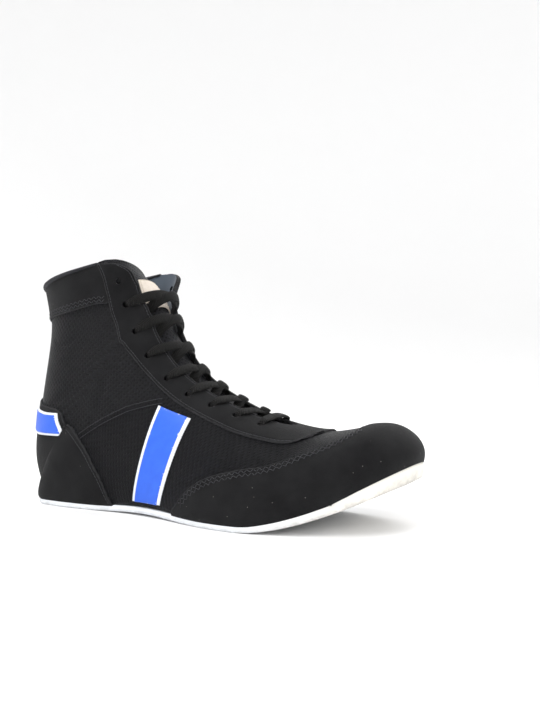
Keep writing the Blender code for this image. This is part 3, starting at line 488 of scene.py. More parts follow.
def mesh_from(name, grids):
    """One mesh from grids of points with their cloth measures; a grid is (points, lay, flip)."""
    points, lays, faces = [], [], []
    base = 0
    for grid, lay, flip in grids:
        rows, columns = grid.shape[:2]
        index = np.arange(rows * columns).reshape(rows, columns) + base
        quads = np.stack([index[:-1, :-1], index[1:, :-1], index[1:, 1:], index[:-1, 1:]], -1).reshape(-1, 4)
        faces.append(quads[:, ::-1] if flip else quads)
        points.append(grid.reshape(-1, 3))
        lays.append(lay.reshape(-1, lay.shape[-1]))
        base += rows * columns
    points, lays, faces = np.concatenate(points), np.concatenate(lays), np.concatenate(faces)
    mesh = bpy.data.meshes.new(name)
    mesh.from_pydata(points.tolist(), [], faces.tolist())
    cloth = mesh.uv_layers.new(name="lay")
    corner = np.empty(len(mesh.loops), int)
    mesh.loops.foreach_get("vertex_index", corner)
    cloth.data.foreach_set("uv", lays[corner, :2].ravel())
    mesh.shade_smooth()
    return mesh


def tidy_mesh(mesh, reach=2e-5):
    """Weld points that fall together and drop faces without area."""
    bm = bmesh.new()
    bm.from_mesh(mesh)
    bmesh.ops.remove_doubles(bm, verts=bm.verts, dist=reach)
    bmesh.ops.dissolve_degenerate(bm, edges=bm.edges, dist=1e-6)
    bm.to_mesh(mesh)
    bm.free()


def add_piece(name, mesh, materials, nodes=(), wall=0.0, lining=False, detail=None):
    """Put a mesh in the scene as a piece: give it a wall inwards, then hide the model's parts that it stands
    for.
    """
    for made in materials:
        mesh.materials.append(made)
    piece = bpy.data.objects.new(name, mesh)
    bpy.context.scene.collection.objects.link(piece)
    if wall:
        shell = piece.modifiers.new("wall", "SOLIDIFY")
        shell.thickness = wall
        shell.offset = -1.0
        shell.use_even_offset = False
        if lining:
            shell.material_offset = 1
    if detail:
        detail(piece)
    if piece.modifiers:
        done = bpy.data.meshes.new_from_object(piece.evaluated_get(bpy.context.evaluated_depsgraph_get()))
        done.name = name
        piece.modifiers.clear()
        piece.data = done
    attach(piece, "root")
    if nodes:
        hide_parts(*nodes)
    return piece


# Edges of the throat, and eyelets down one side: place of each and the line that they lie on
THROAT_EDGE = (
    (7.0, 0.000), (7.1, 0.055), (7.5, 0.085), (8.5, 0.100), (10.0, 0.112), (13.0, 0.100), (15.0, 0.090),
    (16.7, 0.112), (18.1, 0.137), (18.7, 0.155), (19.6, 0.185), (20.3, 0.225), (20.8, 0.275), (21.0, 0.345),
)
EYELET_PLACES = (19.3, 17.2, 14.6, 12.6, 11.3, 10.3, 9.45, 8.6, 7.75)
EYELET_LINE = (
    (7.7, 0.200), (8.6, 0.205), (10.2, 0.215), (12.3, 0.190), (14.6, 0.172), (17.2, 0.190), (19.3, 0.250),
)
EYELET_HOLE = 0.0042
UPPER_WALL = 0.0020
# The seam between vamp and quarter, from the eyestay down to the counter: place and share
QUARTER_SEAM = ((10.9, 0.315), (11.2, 0.350), (11.5, 0.387), (11.9, 0.438), (12.5, 0.540), (13.1, 0.650))
SEAM_RISE = 0.0005
SEAM_REACH = 0.0009


def throat(place):
    """Share of the throat's edge at a place."""
    return np.where(np.asarray(place) < THROAT_EDGE[0][0], 0.0, edge_curve(THROAT_EDGE, place))


def nearest(points, line):
    """Distance of each point from a dense line of points."""
    tree = KDTree(len(line))
    for i, p in enumerate(line):
        tree.insert(p, i)
    tree.balance()
    return np.array([tree.find(p)[2] for p in points.reshape(-1, 3)]).reshape(points.shape[:-1])


def punch(piece):
    """Cut the eyelet holes out of a piece; without use_self they came out as studs."""
    bm = bmesh.new()
    for side in (-1, 1):
        for place in EYELET_PLACES:
            share = side * float(np.interp(place, *np.array(EYELET_LINE).T))
            out = Vector(read_form(form_out, place, share))
            turn = out.to_track_quat("Z", "Y").to_matrix().to_4x4()
            turn.translation = Vector(on_form(place, share, np.array(0.0)))
            bmesh.ops.create_cone(bm, cap_ends=True, segments=16, radius1=EYELET_HOLE / 2,
                                  radius2=EYELET_HOLE / 2, depth=0.012, matrix=turn)
    cutter_mesh = bpy.data.meshes.new("eyelet_punch")
    bm.to_mesh(cutter_mesh)
    bm.free()
    cutter = bpy.data.objects.new("eyelet_punch", cutter_mesh)
    cut = piece.modifiers.new("eyelets", "BOOLEAN")
    cut.operation = "DIFFERENCE"
    cut.object = cutter
    cut.solver = "EXACT"
    cut.use_self = True
    bpy.context.scene.collection.objects.link(cutter)
    done = bpy.data.meshes.new_from_object(piece.evaluated_get(bpy.context.evaluated_depsgraph_get()))
    piece.modifiers.clear()
    piece.data = done
    bpy.data.objects.remove(cutter, do_unlink=True)


# Polyester mesh, warp knitted: staggered open cells 4.3 mm apart in rows 1.8 mm apart. The yarns
# between the cells are smooth filament and catch the light; the cells carry painted shade, near black.
CELL_PITCH = 4.3
CELL_ROW = 1.8
YARN_PITCH = 0.6


def mesh_material(name, dark, light, depth):
    """Knit mesh with open cells in painted shade, laid by the piece's own cloth measures."""
    made, tree, shader = new_material(name, Roughness=0.5, Specular_IOR_Level=0.14)
    lay = put(tree, "ShaderNodeUVMap", uv_map="lay")
    split = put(tree, "ShaderNodeSeparateXYZ", {0: lay.outputs[0]})
    wander = put(tree, "ShaderNodeTexNoise", {"Vector": lay.outputs[0], "Scale": 0.09, "Detail": 2.0})
    shift = put(tree, "ShaderNodeMath", {0: wander.outputs[0], 1: 2.2}, operation="MULTIPLY")
    across = put(tree, "ShaderNodeMath", {0: split.outputs[0], 1: shift.outputs[0]}, operation="ADD")
    up = put(tree, "ShaderNodeMath", {0: split.outputs[1], 1: shift.outputs[0]}, operation="ADD")
    waves = []
    for value, pitch in ((across, CELL_PITCH), (up, 2 * CELL_ROW)):
        phase = put(tree, "ShaderNodeMath", {0: value.outputs[0], 1: 2 * math.pi / pitch},
                    operation="MULTIPLY")
        waves.append(put(tree, "ShaderNodeMath", {0: phase.outputs[0]}, operation="COSINE"))
    cell = put(tree, "ShaderNodeMath", {0: waves[0].outputs[0], 1: waves[1].outputs[0]}, operation="MULTIPLY")
    hole = put(tree, "ShaderNodeMapRange", {"Value": cell.outputs[0], "From Min": 0.15, "From Max": 0.62},
               interpolation_type="SMOOTHSTEP")
    thread_phase = put(tree, "ShaderNodeMath", {0: up.outputs[0], 1: 2 * math.pi / YARN_PITCH},
                       operation="MULTIPLY")
    thread = put(tree, "ShaderNodeMath", {0: thread_phase.outputs[0]}, operation="SINE")
    fleck = put(tree, "ShaderNodeTexNoise", {"Vector": lay.outputs[0], "Scale": 1.6, "Detail": 3.0})
    tone = put(tree, "ShaderNodeMapRange", {"Value": fleck.outputs[0], "From Min": 0.35, "From Max": 0.75})
    yarn = put(tree, "ShaderNodeMix", {"Factor": tone.outputs[0], "A": linear(dark), "B": linear(light)},
               data_type="RGBA")
    # Painted shade: the open cells are coloured near black for the shade that falls inside them.
    colour = put(tree, "ShaderNodeMix", {"Factor": hole.outputs[0], "A": yarn.outputs[2],
                                         "B": linear("#060608")}, data_type="RGBA")
    tree.links.new(colour.outputs[2], shader.inputs["Base Color"])
    sunk = put(tree, "ShaderNodeMath", {0: hole.outputs[0], 1: -1.0}, operation="MULTIPLY")
    height = put(tree, "ShaderNodeMath", {0: thread.outputs[0], 1: 0.16, 2: sunk.outputs[0]},
                 operation="MULTIPLY_ADD")
    bump = put(tree, "ShaderNodeBump", {"Height": height.outputs[0], "Strength": 1.0, "Distance": depth})
    tree.links.new(bump.outputs[0], shader.inputs["Normal"])
    return made


knit_black = mesh_material("polyester_mesh_black", "#050506", "#1E1E22", 0.0005)


def lining_material():
    """Brushed nylon jersey: blue grey, matt, with a fine even grain."""
    made, tree, shader = new_material("nylon_lining_blue_grey", Roughness=0.85, Sheen_Weight=0.25,
                                      Sheen_Roughness=0.5)
    place = put(tree, "ShaderNodeTexCoord")
    cloud = put(tree, "ShaderNodeTexNoise", {"Vector": place.outputs["Object"], "Scale": 55.0, "Detail": 4.0})
    colour = put(tree, "ShaderNodeMix", {"Factor": cloud.outputs[0], "A": linear("#333B45"),
                                         "B": linear("#505A66")}, data_type="RGBA")
    tree.links.new(colour.outputs[2], shader.inputs["Base Color"])
    grain = put(tree, "ShaderNodeTexNoise", {"Vector": place.outputs["Object"], "Scale": 1500.0,
                                             "Detail": 2.0})
    bump = put(tree, "ShaderNodeBump", {"Height": grain.outputs[0], "Strength": 0.5, "Distance": 0.0003})
    tree.links.new(bump.outputs[0], shader.inputs["Normal"])
    return made


lining = lining_material()

seam_k = np.linspace(QUARTER_SEAM[0][0], QUARTER_SEAM[-1][0], 90)
seam_c = edge_curve(QUARTER_SEAM, seam_k)
wall_rows = np.unique(np.concatenate([crowd(0.0, 21.0, 0.075, (0.02, 0.05)), np.linspace(6.98, 7.3, 17)]))
grids = []
for side in (-1, 1):
    inner = throat(wall_rows)
    share = np.linspace(0.0, 1.0, 112) ** 1.08
    across = side * (inner[:, None] + (1.0 - inner[:, None]) * share[None])
    places = np.repeat(wall_rows[:, None], across.shape[1], axis=1)
    base = on_form(places, across, np.zeros(places.shape))
    welt = nearest(base, on_form(seam_k, side * seam_c, np.zeros(len(seam_k))))
    points = on_form(places, across, SEAM_RISE * np.exp(-(welt / SEAM_REACH) ** 2))
    grids.append((points, np.concatenate([places[..., None], across[..., None]], -1), side > 0))
mesh = mesh_from("knit_wall", grids)
# Each face is laid by the cut that it belongs to: quarter behind the seam, vamp in front of it
corner_at = np.array([loop.uv for loop in mesh.uv_layers["lay"].data])
face_of = np.repeat(np.arange(len(mesh.polygons)), [len(p.vertices) for p in mesh.polygons])
face_at = np.zeros((len(mesh.polygons), 2))
np.add.at(face_at, face_of, corner_at / 4)
seam_place = np.interp(np.abs(face_at[:, 1]), seam_c, seam_k)
behind = (face_at[:, 0] > seam_place)[face_of]
lay = np.where(behind[:, None], quarter_lay(*corner_at.T), vamp_lay(*corner_at.T))
mesh.uv_layers["lay"].data.foreach_set("uv", lay.ravel())
tidy_mesh(mesh)
add_piece("knit_wall", mesh, [knit_black, lining], ["upper"], UPPER_WALL, True, punch)

# Suede overlays
# Eyestay, toe cap, heel counter, collar band and backstay: split leather about 1.1 mm thick with
# its nap outwards, cut with raw edges and stitched down on the mesh close to those edges.
OVERLAY = 0.0015
EDGE_ROLL = 0.0010
EDGE_SINK = 0.0002
STITCH_IN = 0.0021
GROOVE_DEPTH = 0.00028
GROOVE_REACH = 0.0005
EDGE_OFFSETS = (0.0001, 0.0003, 0.0006, 0.0010, 0.0014, 0.0018, 0.0021, 0.0024, 0.0029)


def spread(width, count):
    """Shares from 0 to 1 across a panel whose width in metres is given, closer near both edges."""
    width = np.atleast_1d(width)[:, None]
    fine = np.array(EDGE_OFFSETS)[None] * np.minimum(1.0, width / (3.2 * EDGE_OFFSETS[-1])) / width
    last = fine[:, -1:]
    body = last + (1 - 2 * last) * np.linspace(0.0, 1.0, count)[None, 1:-1]
    zero = np.zeros((len(width), 1))
    return np.concatenate([zero, fine, body, 1 - fine[:, ::-1], 1 - zero], axis=1)


def suede_material():
    """Chrome tanned split leather, brushed: a short nap that scatters light, so it has no gloss, a
    cloudy tone where the nap lies over, paler rubbed edges and a few caught specks of dust."""
    made, tree, shader = new_material("suede_black", Roughness=0.88, Specular_IOR_Level=0.09,
                                      Sheen_Weight=0.06, Sheen_Roughness=0.45)
    place = put(tree, "ShaderNodeTexCoord").outputs["Object"]
    cloud = put(tree, "ShaderNodeTexNoise", {"Vector": place, "Scale": 45.0, "Detail": 5.0, "Roughness": 0.6})
    tone = put(tree, "ShaderNodeMapRange", {"Value": cloud.outputs[0], "From Min": 0.3, "From Max": 0.7})
    nap = put(tree, "ShaderNodeMix", {"Factor": tone.outputs[0], "A": linear("#131314"),
                                      "B": linear("#1E1E1F")}, data_type="RGBA")
    edge = put(tree, "ShaderNodeAttribute", attribute_name="edge")
    scuff = put(tree, "ShaderNodeTexNoise", {"Vector": place, "Scale": 420.0, "Detail": 2.0})
    reach = put(tree, "ShaderNodeMath", {0: scuff.outputs[0], 1: 1.5, 2: 0.1}, operation="MULTIPLY_ADD")
    rubbed = put(tree, "ShaderNodeMath", {0: edge.outputs["Fac"], 1: reach.outputs[0]}, operation="LESS_THAN")
    worn = put(tree, "ShaderNodeMath", {0: rubbed.outputs[0], 1: 0.45}, operation="MULTIPLY")
    edged = put(tree, "ShaderNodeMix", {"Factor": worn.outputs[0], "A": nap.outputs[2],
                                        "B": linear("#3A3A3C")}, data_type="RGBA")
    speck = put(tree, "ShaderNodeTexVoronoi", {"Vector": place, "Scale": 190.0, "Randomness": 1.0})
    dust = put(tree, "ShaderNodeMapRange", {"Value": speck.outputs["Distance"], "From Min": 0.045,
                                            "From Max": 0.03})
    dusty = put(tree, "ShaderNodeMix", {"Factor": dust.outputs[0], "A": edged.outputs[2],
                                        "B": linear("#8A8780")}, data_type="RGBA")
    tree.links.new(dusty.outputs[2], shader.inputs["Base Color"])
    hair = put(tree, "ShaderNodeTexNoise", {"Vector": place, "Scale": 1900.0, "Detail": 3.0,
                                            "Roughness": 0.7})
    bump = put(tree, "ShaderNodeBump", {"Height": hair.outputs[0], "Strength": 0.6, "Distance": 0.0004})
    tree.links.new(bump.outputs[0], shader.inputs["Normal"])
    return made


suede_black = suede_material()
suede_split = suede_material()
suede_split.name = "suede_flesh_side"


def overlay(name, sheets, edges, nodes, seams=(), height=OVERLAY, wall=0.0009, materials=None,
            detail=None, under=None):
    """A stitched down panel. sheets are (places, across, flip); edges and seams are lines of places
    and across. Its height rolls down to the mesh at the edges and dips along the seams."""
    edge_line = np.concatenate([on_form(k, c, np.zeros(len(k))) for k, c in edges])
    seam_line = np.concatenate([on_form(k, c, np.zeros(len(k))) for k, c in seams]) if seams else None
    grids, depths = [], []
    for places, across, flip in sheets:
        base = on_form(places, across, np.zeros(places.shape))
        away = nearest(base, edge_line)
        roll = np.sqrt(1 - (1 - np.minimum(away / EDGE_ROLL, 1.0)) ** 2)
        lift = -EDGE_SINK + (height + EDGE_SINK) * roll
        if under is not None:
            lift = lift + under(places, across)
        if seam_line is not None:
            lift = lift - GROOVE_DEPTH * np.exp(-(nearest(base, seam_line) / GROOVE_REACH) ** 2)
        grids.append((on_form(places, across, lift), vamp_lay(places, across), flip))
        depths.append(away.ravel())
    mesh = mesh_from(name, grids)
    mark = mesh.attributes.new("edge", "FLOAT", "POINT")
    mark.data.foreach_set("value", np.concatenate(depths) * 1000)
    tidy_mesh(mesh)
    return add_piece(name, mesh, materials or [suede_black], nodes, wall, False, detail)


def side_panel(rows, inner, outer, count):
    """Two mirrored sheets between an inner and an outer share at each place."""
    low, high = inner(rows), outer(rows)
    width = (high - low) * np.interp(rows, form_places, outer_girth)
    share = low[:, None] + (high - low)[:, None] * spread(width, count)
    places = np.repeat(rows[:, None], share.shape[1], axis=1)
    return [(places, side * share, side > 0) for side in (-1, 1)]


EYESTAY_REAR = (
    (5.90, 0.060), (5.95, 0.160), (6.10, 0.260), (6.35, 0.330), (6.80, 0.356), (8.00, 0.350), (9.00, 0.328),
    (10.0, 0.300), (11.2, 0.266), (12.2, 0.248), (13.5, 0.238), (16.1, 0.240), (18.2, 0.287), (19.7, 0.335),
    (21.0, 0.362),
)
rear = lambda k: edge_curve(EYESTAY_REAR, k)
along = np.linspace(EYESTAY_REAR[0][0], COLLAR_SECTION, 900)
bow = np.linspace(0.0, 1.0, 60)
eyestay_edges, eyestay_seams = [], []


def inset_line(k, c, inward):
    """Shares of a line moved over the form by a distance in metres."""
    return c + inward / np.interp(k, form_places, outer_girth)


top_c = throat(COLLAR_SECTION) + (rear(COLLAR_SECTION) - throat(COLLAR_SECTION)) * bow
for side in (-1, 1):
    open_k = along[along >= THROAT_EDGE[0][0]]
    eyestay_edges += [(along, side * rear(along)), (open_k, side * throat(open_k)),
                      (np.full(60, COLLAR_SECTION), side * top_c),
                      (np.full(60, EYESTAY_REAR[0][0]), side * bow * EYESTAY_REAR[0][1])]
    seam_k = along[(along > 6.35)]
    eyestay_seams.append((seam_k, side * inset_line(seam_k, rear(seam_k), -STITCH_IN)))
    seam_k = along[(along > 7.35) & (along < 20.6)]
    eyestay_seams.append((seam_k, side * inset_line(seam_k, throat(seam_k), STITCH_IN)))
eyestay_rows = crowd(EYESTAY_REAR[0][0], COLLAR_SECTION, 0.075, (0.01, 0.025, 0.05, 0.08, 0.12))
eyestay_rows = np.unique(np.concatenate([eyestay_rows, np.linspace(6.98, 7.3, 17)]))
overlay("eyestay_suede", side_panel(eyestay_rows, throat, rear, 22), eyestay_edges, ["eyestay"],
        eyestay_seams, detail=punch)

TOE_CAP_EDGE = (
    (4.40, 0.000), (4.45, 0.180), (4.60, 0.310), (4.90, 0.390), (5.60, 0.465), (6.40, 0.560),
    (7.20, 0.615), (8.00, 0.690), (8.50, 0.790), (8.80, 0.950),
)
cap_edge = lambda k: np.where(k < TOE_CAP_EDGE[0][0], 0.0, edge_curve(TOE_CAP_EDGE, k))
cap_k = np.linspace(4.4, 8.8, 700)
cap_edges = [(cap_k, side * cap_edge(cap_k)) for side in (-1, 1)]
cap_rows = np.unique(np.concatenate([crowd(0.05, 8.79, 0.07, (0.02,)), np.linspace(4.40, 4.66, 20)]))
sole_side = lambda k: np.ones(len(k))
overlay("toe_cap_suede", side_panel(cap_rows, cap_edge, sole_side, 60), cap_edges, ["toe_cap"])

COUNTER_FRONT = (
    (0.600, 15.2), (0.615, 14.2), (0.640, 13.4), (0.690, 12.6), (0.762, 12.0), (0.838, 11.5), (0.925, 11.1),
    (1.000, 10.8),
)
# Height of the counter's top edge by share, in instep heights; place of the band's lower edge by share
COUNTER_TOP = (
    (0.600, 0.870), (0.615, 0.905), (0.650, 0.925), (0.700, 0.935), (0.780, 0.955), (0.880, 1.000),
    (1.000, 1.050),
)
BAND_LOWER = (
    (0.306, 18.40), (0.357, 18.78), (0.420, 19.10), (0.585, 19.60), (0.760, 19.95), (0.900, 20.08),
    (1.000, 20.12),
)


def cross_panel(shares, low, high, count):
    """Two mirrored sheets between a low and a high place at each share."""
    reach = np.linalg.norm(on_form(high, -shares, 0 * shares) - on_form(low, -shares, 0 * shares), axis=1)
    places = low[:, None] + (high - low)[:, None] * spread(reach, count)
    across = np.repeat(shares[:, None], places.shape[1], axis=1)
    return [(places, side * across, side < 0) for side in (-1, 1)]


counter_top = lambda c: place_at_height(c, edge_curve(COUNTER_TOP, c))
counter_c = crowd(0.600, 1.0, 0.009, (0.0015, 0.004))
front_c, top_c = edge_curve(COUNTER_FRONT, counter_c), counter_top(counter_c)
dense = np.linspace(0.600, 1.0, 300)
counter_edges, counter_seams = [], []
for side in (-1, 1):
    counter_edges += [(edge_curve(COUNTER_FRONT, dense), side * dense), (counter_top(dense), side * dense),
                      (np.linspace(front_c[0], top_c[0], 60), np.full(60, side * 0.6))]
    seam_c = dense[(dense > 0.625) & (dense < 0.985)]
    counter_seams.append((edge_curve(COUNTER_FRONT, seam_c - 0.017), side * (seam_c + 0.004)))
overlay("heel_counter_suede", cross_panel(counter_c, front_c, top_c, 50), counter_edges,
        ["heel_counter"], counter_seams)

# The band runs on under the eyestay's rear edge, so its front end follows that edge a little inside
BAND_TUCK = 0.006
shaft_k = np.linspace(18.3, COLLAR_SECTION, 60)
shaft_c = rear(shaft_k) - BAND_TUCK
band_start = float(np.interp(18.40, shaft_k, shaft_c))
band_c = np.unique(np.concatenate([crowd(band_start, 1.0, 0.009, (0.0015, 0.004)), [shaft_c[-1]]]))
band_low = edge_curve(BAND_LOWER, band_c)
band_top = np.maximum(band_low + 0.01, np.interp(band_c, shaft_c, shaft_k))
dense = np.linspace(0.300, 1.0, 420)
band_edges = [(edge_curve(BAND_LOWER, dense), side * dense) for side in (-1, 1)]
BAND_HEIGHT = 0.0011
overlay("collar_band_suede", cross_panel(band_c, band_low, band_top, 16), band_edges, ["collar_band"],
        height=BAND_HEIGHT)

STAY_EDGE = 0.92
STAY_TOP = 19.05
stay_rows = crowd(float(counter_top(1.0)[0]) - 0.1, STAY_TOP, 0.05, (0.01, 0.025))
stay_edges = []
for side in (-1, 1):
    stay_edges += [(np.linspace(stay_rows[0] - 0.3, STAY_TOP, 80), np.full(80, side * STAY_EDGE)),
                   (np.full(60, STAY_TOP), side * np.linspace(STAY_EDGE, 1.0, 60))]
stay_edge = lambda k: np.full(len(k), STAY_EDGE)
overlay("backstay_suede", side_panel(stay_rows, stay_edge, sole_side, 6), stay_edges, ["backstay"],
        height=0.0008)


# Collar binding
# Knitted tape folded over the collar's top edge from outside to inside and sewn through once.
BINDING_RINGS = (
    (-1.2, 1.2), (-0.9, 1.9), (0.0, 2.3), (1.2, 2.3), (2.3, 1.8), (3.0, 0.9), (3.3, -0.3), (3.0, -1.6),
    (2.2, -2.5), (1.0, -2.9), (-0.4, -2.9), (-1.6, -2.6), (-1.8, -1.0), (-1.6, 0.4),
)
turn_s = np.linspace(0.362, 2 - 0.362, 360)
binding_across = np.where(turn_s <= 1, -turn_s, 2 - turn_s)
collar_step = np.linalg.norm(on_form(21.0, -1.0, np.array(0.0)) - on_form(20.9, -1.0, np.array(0.0))) * 10
settle = smooth(np.minimum(turn_s - turn_s[0], turn_s[-1] - turn_s) / 0.05)
rings = []
for up, out in (*BINDING_RINGS, BINDING_RINGS[0]):
    lift = np.where(out > 1.0, 1.0 + (out - 1.0) * settle, out)
    rings.append(on_form(21.0 + up * 1e-3 / collar_step, binding_across, lift * 1e-3))
points = np.stack(rings, 0)
run_on = np.concatenate([[0.0], np.cumsum(np.linalg.norm(np.diff(points[4], axis=0), axis=1))]) * 1000
run_over = np.concatenate([[0.0], np.cumsum(np.linalg.norm(np.diff(points[:, 100], axis=0), axis=1))]) * 1000
lay = np.stack(np.broadcast_arrays(run_on[None], run_over[:, None]), -1)


def tape_material():
    """Rib knit polyester tape: slanted ribs 1.6 mm apart with a soft thread gloss."""
    made, tree, shader = new_material("rib_tape_black", Roughness=0.6, Specular_IOR_Level=0.25)
    lay = put(tree, "ShaderNodeUVMap", uv_map="lay")
    split = put(tree, "ShaderNodeSeparateXYZ", {0: lay.outputs[0]})
    waves = []
    for slant, pitch in ((0.7, 1.6), (-0.7, 1.6)):
        lean = put(tree, "ShaderNodeMath", {0: split.outputs[1], 1: slant, 2: split.outputs[0]},
                   operation="MULTIPLY_ADD")
        phase = put(tree, "ShaderNodeMath", {0: lean.outputs[0], 1: 2 * math.pi / pitch},
                    operation="MULTIPLY")
        waves.append(put(tree, "ShaderNodeMath", {0: phase.outputs[0]}, operation="SINE"))
    both = put(tree, "ShaderNodeMath", {0: waves[0].outputs[0], 1: waves[1].outputs[0]}, operation="MULTIPLY")
    rib = put(tree, "ShaderNodeMapRange", {"Value": both.outputs[0], "From Min": -0.8, "From Max": 0.8})
    colour = put(tree, "ShaderNodeMix", {"Factor": rib.outputs[0], "A": linear("#101013"),
                                         "B": linear("#34343A")}, data_type="RGBA")
    tree.links.new(colour.outputs[2], shader.inputs["Base Color"])
    bump = put(tree, "ShaderNodeBump", {"Height": rib.outputs[0], "Strength": 0.8, "Distance": 0.0004})
    tree.links.new(bump.outputs[0], shader.inputs["Normal"])
    return made


def close_ends(mesh):
    """Fill the open ends of a tube and turn its faces outwards."""
    bm = bmesh.new()
    bm.from_mesh(mesh)
    bmesh.ops.holes_fill(bm, edges=[e for e in bm.edges if e.is_boundary])
    bmesh.ops.recalc_face_normals(bm, faces=bm.faces)
    bm.to_mesh(mesh)
    bm.free()


rib_tape = tape_material()
mesh = mesh_from("collar_binding_tape", [(points, lay, False)])
tidy_mesh(mesh)
close_ends(mesh)
add_piece("collar_binding_tape", mesh, [rib_tape], ["collar_binding"])


# Tongue and its label
# A tongue of the same mesh over a thin layer of foam, sewn to one sheet and lined like the shaft, and a
# plain woven label stitched down on it.
TONGUE_GAP = 0.0008
TONGUE_LEAN = 0.0110
TONGUE_THICKNESS = 0.0034
TONGUE_TURN = 0.0100
TONGUE_SINK = 0.0090
TONGUE_EDGE = (
    (6.1, 0.10), (6.3, 0.22), (7.0, 0.27), (9.0, 0.29), (12.0, 0.29), (16.0, 0.29), (19.5, 0.33),
    (20.6, 0.33), (21.0, 0.31), (21.2, 0.26), (21.35, 0.16), (21.42, 0.05),
)


def on_tongue(places, across, lift=0.0):
    """Points under the wall of the closed form, leaning back into the shaft near the top; the inner
    side leans in further and sinks."""
    under = np.asarray(lift, float) - UPPER_WALL - TONGUE_GAP + 0 * places
    points = on_form(places, across, under, closed_form)
    inner = smooth((places - 16.0) / 6.0) * smooth((across + 0.25) / 0.50)
    back = TONGUE_LEAN * smooth((places - 12.0) / 9.0) + TONGUE_TURN * inner
    return points - np.stack([back, 0.0 * back, TONGUE_SINK * inner], -1)


tongue_rows = crowd(6.1, 21.415, 0.1, (0.01, 0.03, 0.06))
column = np.sin(np.linspace(-math.pi / 2, math.pi / 2, 70))
places = np.repeat(tongue_rows[:, None], len(column), axis=1)
across = edge_curve(TONGUE_EDGE, tongue_rows)[:, None] * column[None]
pad = 0.0010 * np.sqrt(np.maximum(1 - column[None] ** 4, 0.0)) - 0.0010
points = on_tongue(places, across, pad + 0 * places)
knit_tongue = mesh_material("polyester_mesh_tongue", "#151518", "#242429", 0.0004)
mesh = mesh_from("tongue_knit", [(points, vamp_lay(places, across), True)])
tidy_mesh(mesh)
add_piece("tongue_knit", mesh, [knit_tongue, lining], ["tongue"], TONGUE_THICKNESS, True)

LABEL_PLACES = (15.0, 18.45)
LABEL_SHARES = (-0.075, 0.075)
LABEL_THICKNESS = 0.0007
LABEL_LIFT = 0.0006
LABEL_THREAD = 0.5


def label_material():
    """Woven polyester label tape: beige, satin threads across, a firm plain weave 0.5 mm apart."""
    made, tree, shader = new_material("woven_label_beige", Roughness=0.6, Specular_IOR_Level=0.3)
    lay = put(tree, "ShaderNodeUVMap", uv_map="lay")
    split = put(tree, "ShaderNodeSeparateXYZ", {0: lay.outputs[0]})
    waves = []
    for axis in (0, 1):
        phase = put(tree, "ShaderNodeMath", {0: split.outputs[axis], 1: 2 * math.pi / LABEL_THREAD},
                    operation="MULTIPLY")
        waves.append(put(tree, "ShaderNodeMath", {0: phase.outputs[0]}, operation="SINE"))
    weave = put(tree, "ShaderNodeMath", {0: waves[0].outputs[0], 1: waves[1].outputs[0]},
                operation="MULTIPLY")
    tint = put(tree, "ShaderNodeTexNoise", {"Vector": lay.outputs[0], "Scale": 0.35, "Detail": 3.0})
    colour = put(tree, "ShaderNodeMix", {"Factor": tint.outputs[0], "A": linear("#C9BDB0"),
                                         "B": linear("#E2D8CC")}, data_type="RGBA")
    tree.links.new(colour.outputs[2], shader.inputs["Base Color"])
    bump = put(tree, "ShaderNodeBump", {"Height": weave.outputs[0], "Strength": 0.5, "Distance": 0.0001})
    tree.links.new(bump.outputs[0], shader.inputs["Normal"])
    return made


label_beige = label_material()
label_rows = crowd(*LABEL_PLACES, 0.05, (0.01, 0.025))
label_across = crowd(*LABEL_SHARES, 0.006, (0.001, 0.003))
places, across = np.meshgrid(label_rows, label_across, indexing="ij")
points = on_tongue(places, across, LABEL_LIFT + LABEL_THICKNESS)
mesh = mesh_from("tongue_label_woven", [(points, vamp_lay(places, across), True)])
add_piece("tongue_label_woven", mesh, [label_beige], ["tongue_label"], LABEL_THICKNESS)


# Blue bands with white edging
# Coated synthetic leather with a pebble grain: a band down each side at the waist and one round the
# heel, each on a wider white edging. The blue coat has peeled to white in flecks along its edges.
SADDLE_TOP = (9.80, 10.80)
SADDLE_FOOT = (9.40, 10.15)
SADDLE_SHARES = (0.345, 0.955)
HEEL_BAND_LOWER = ((0.635, 0.690), (0.780, 0.690), (0.880, 0.710), (1.000, 0.760))
HEEL_BAND_UPPER = ((0.635, 0.865), (0.700, 0.865), (0.780, 0.875), (0.880, 0.905), (1.000, 0.955))
EDGING_WIDEN = 0.12
EDGING_SHARE = 0.014
EDGING_LIFT = 0.0009
BAND_LIFT = 0.0005


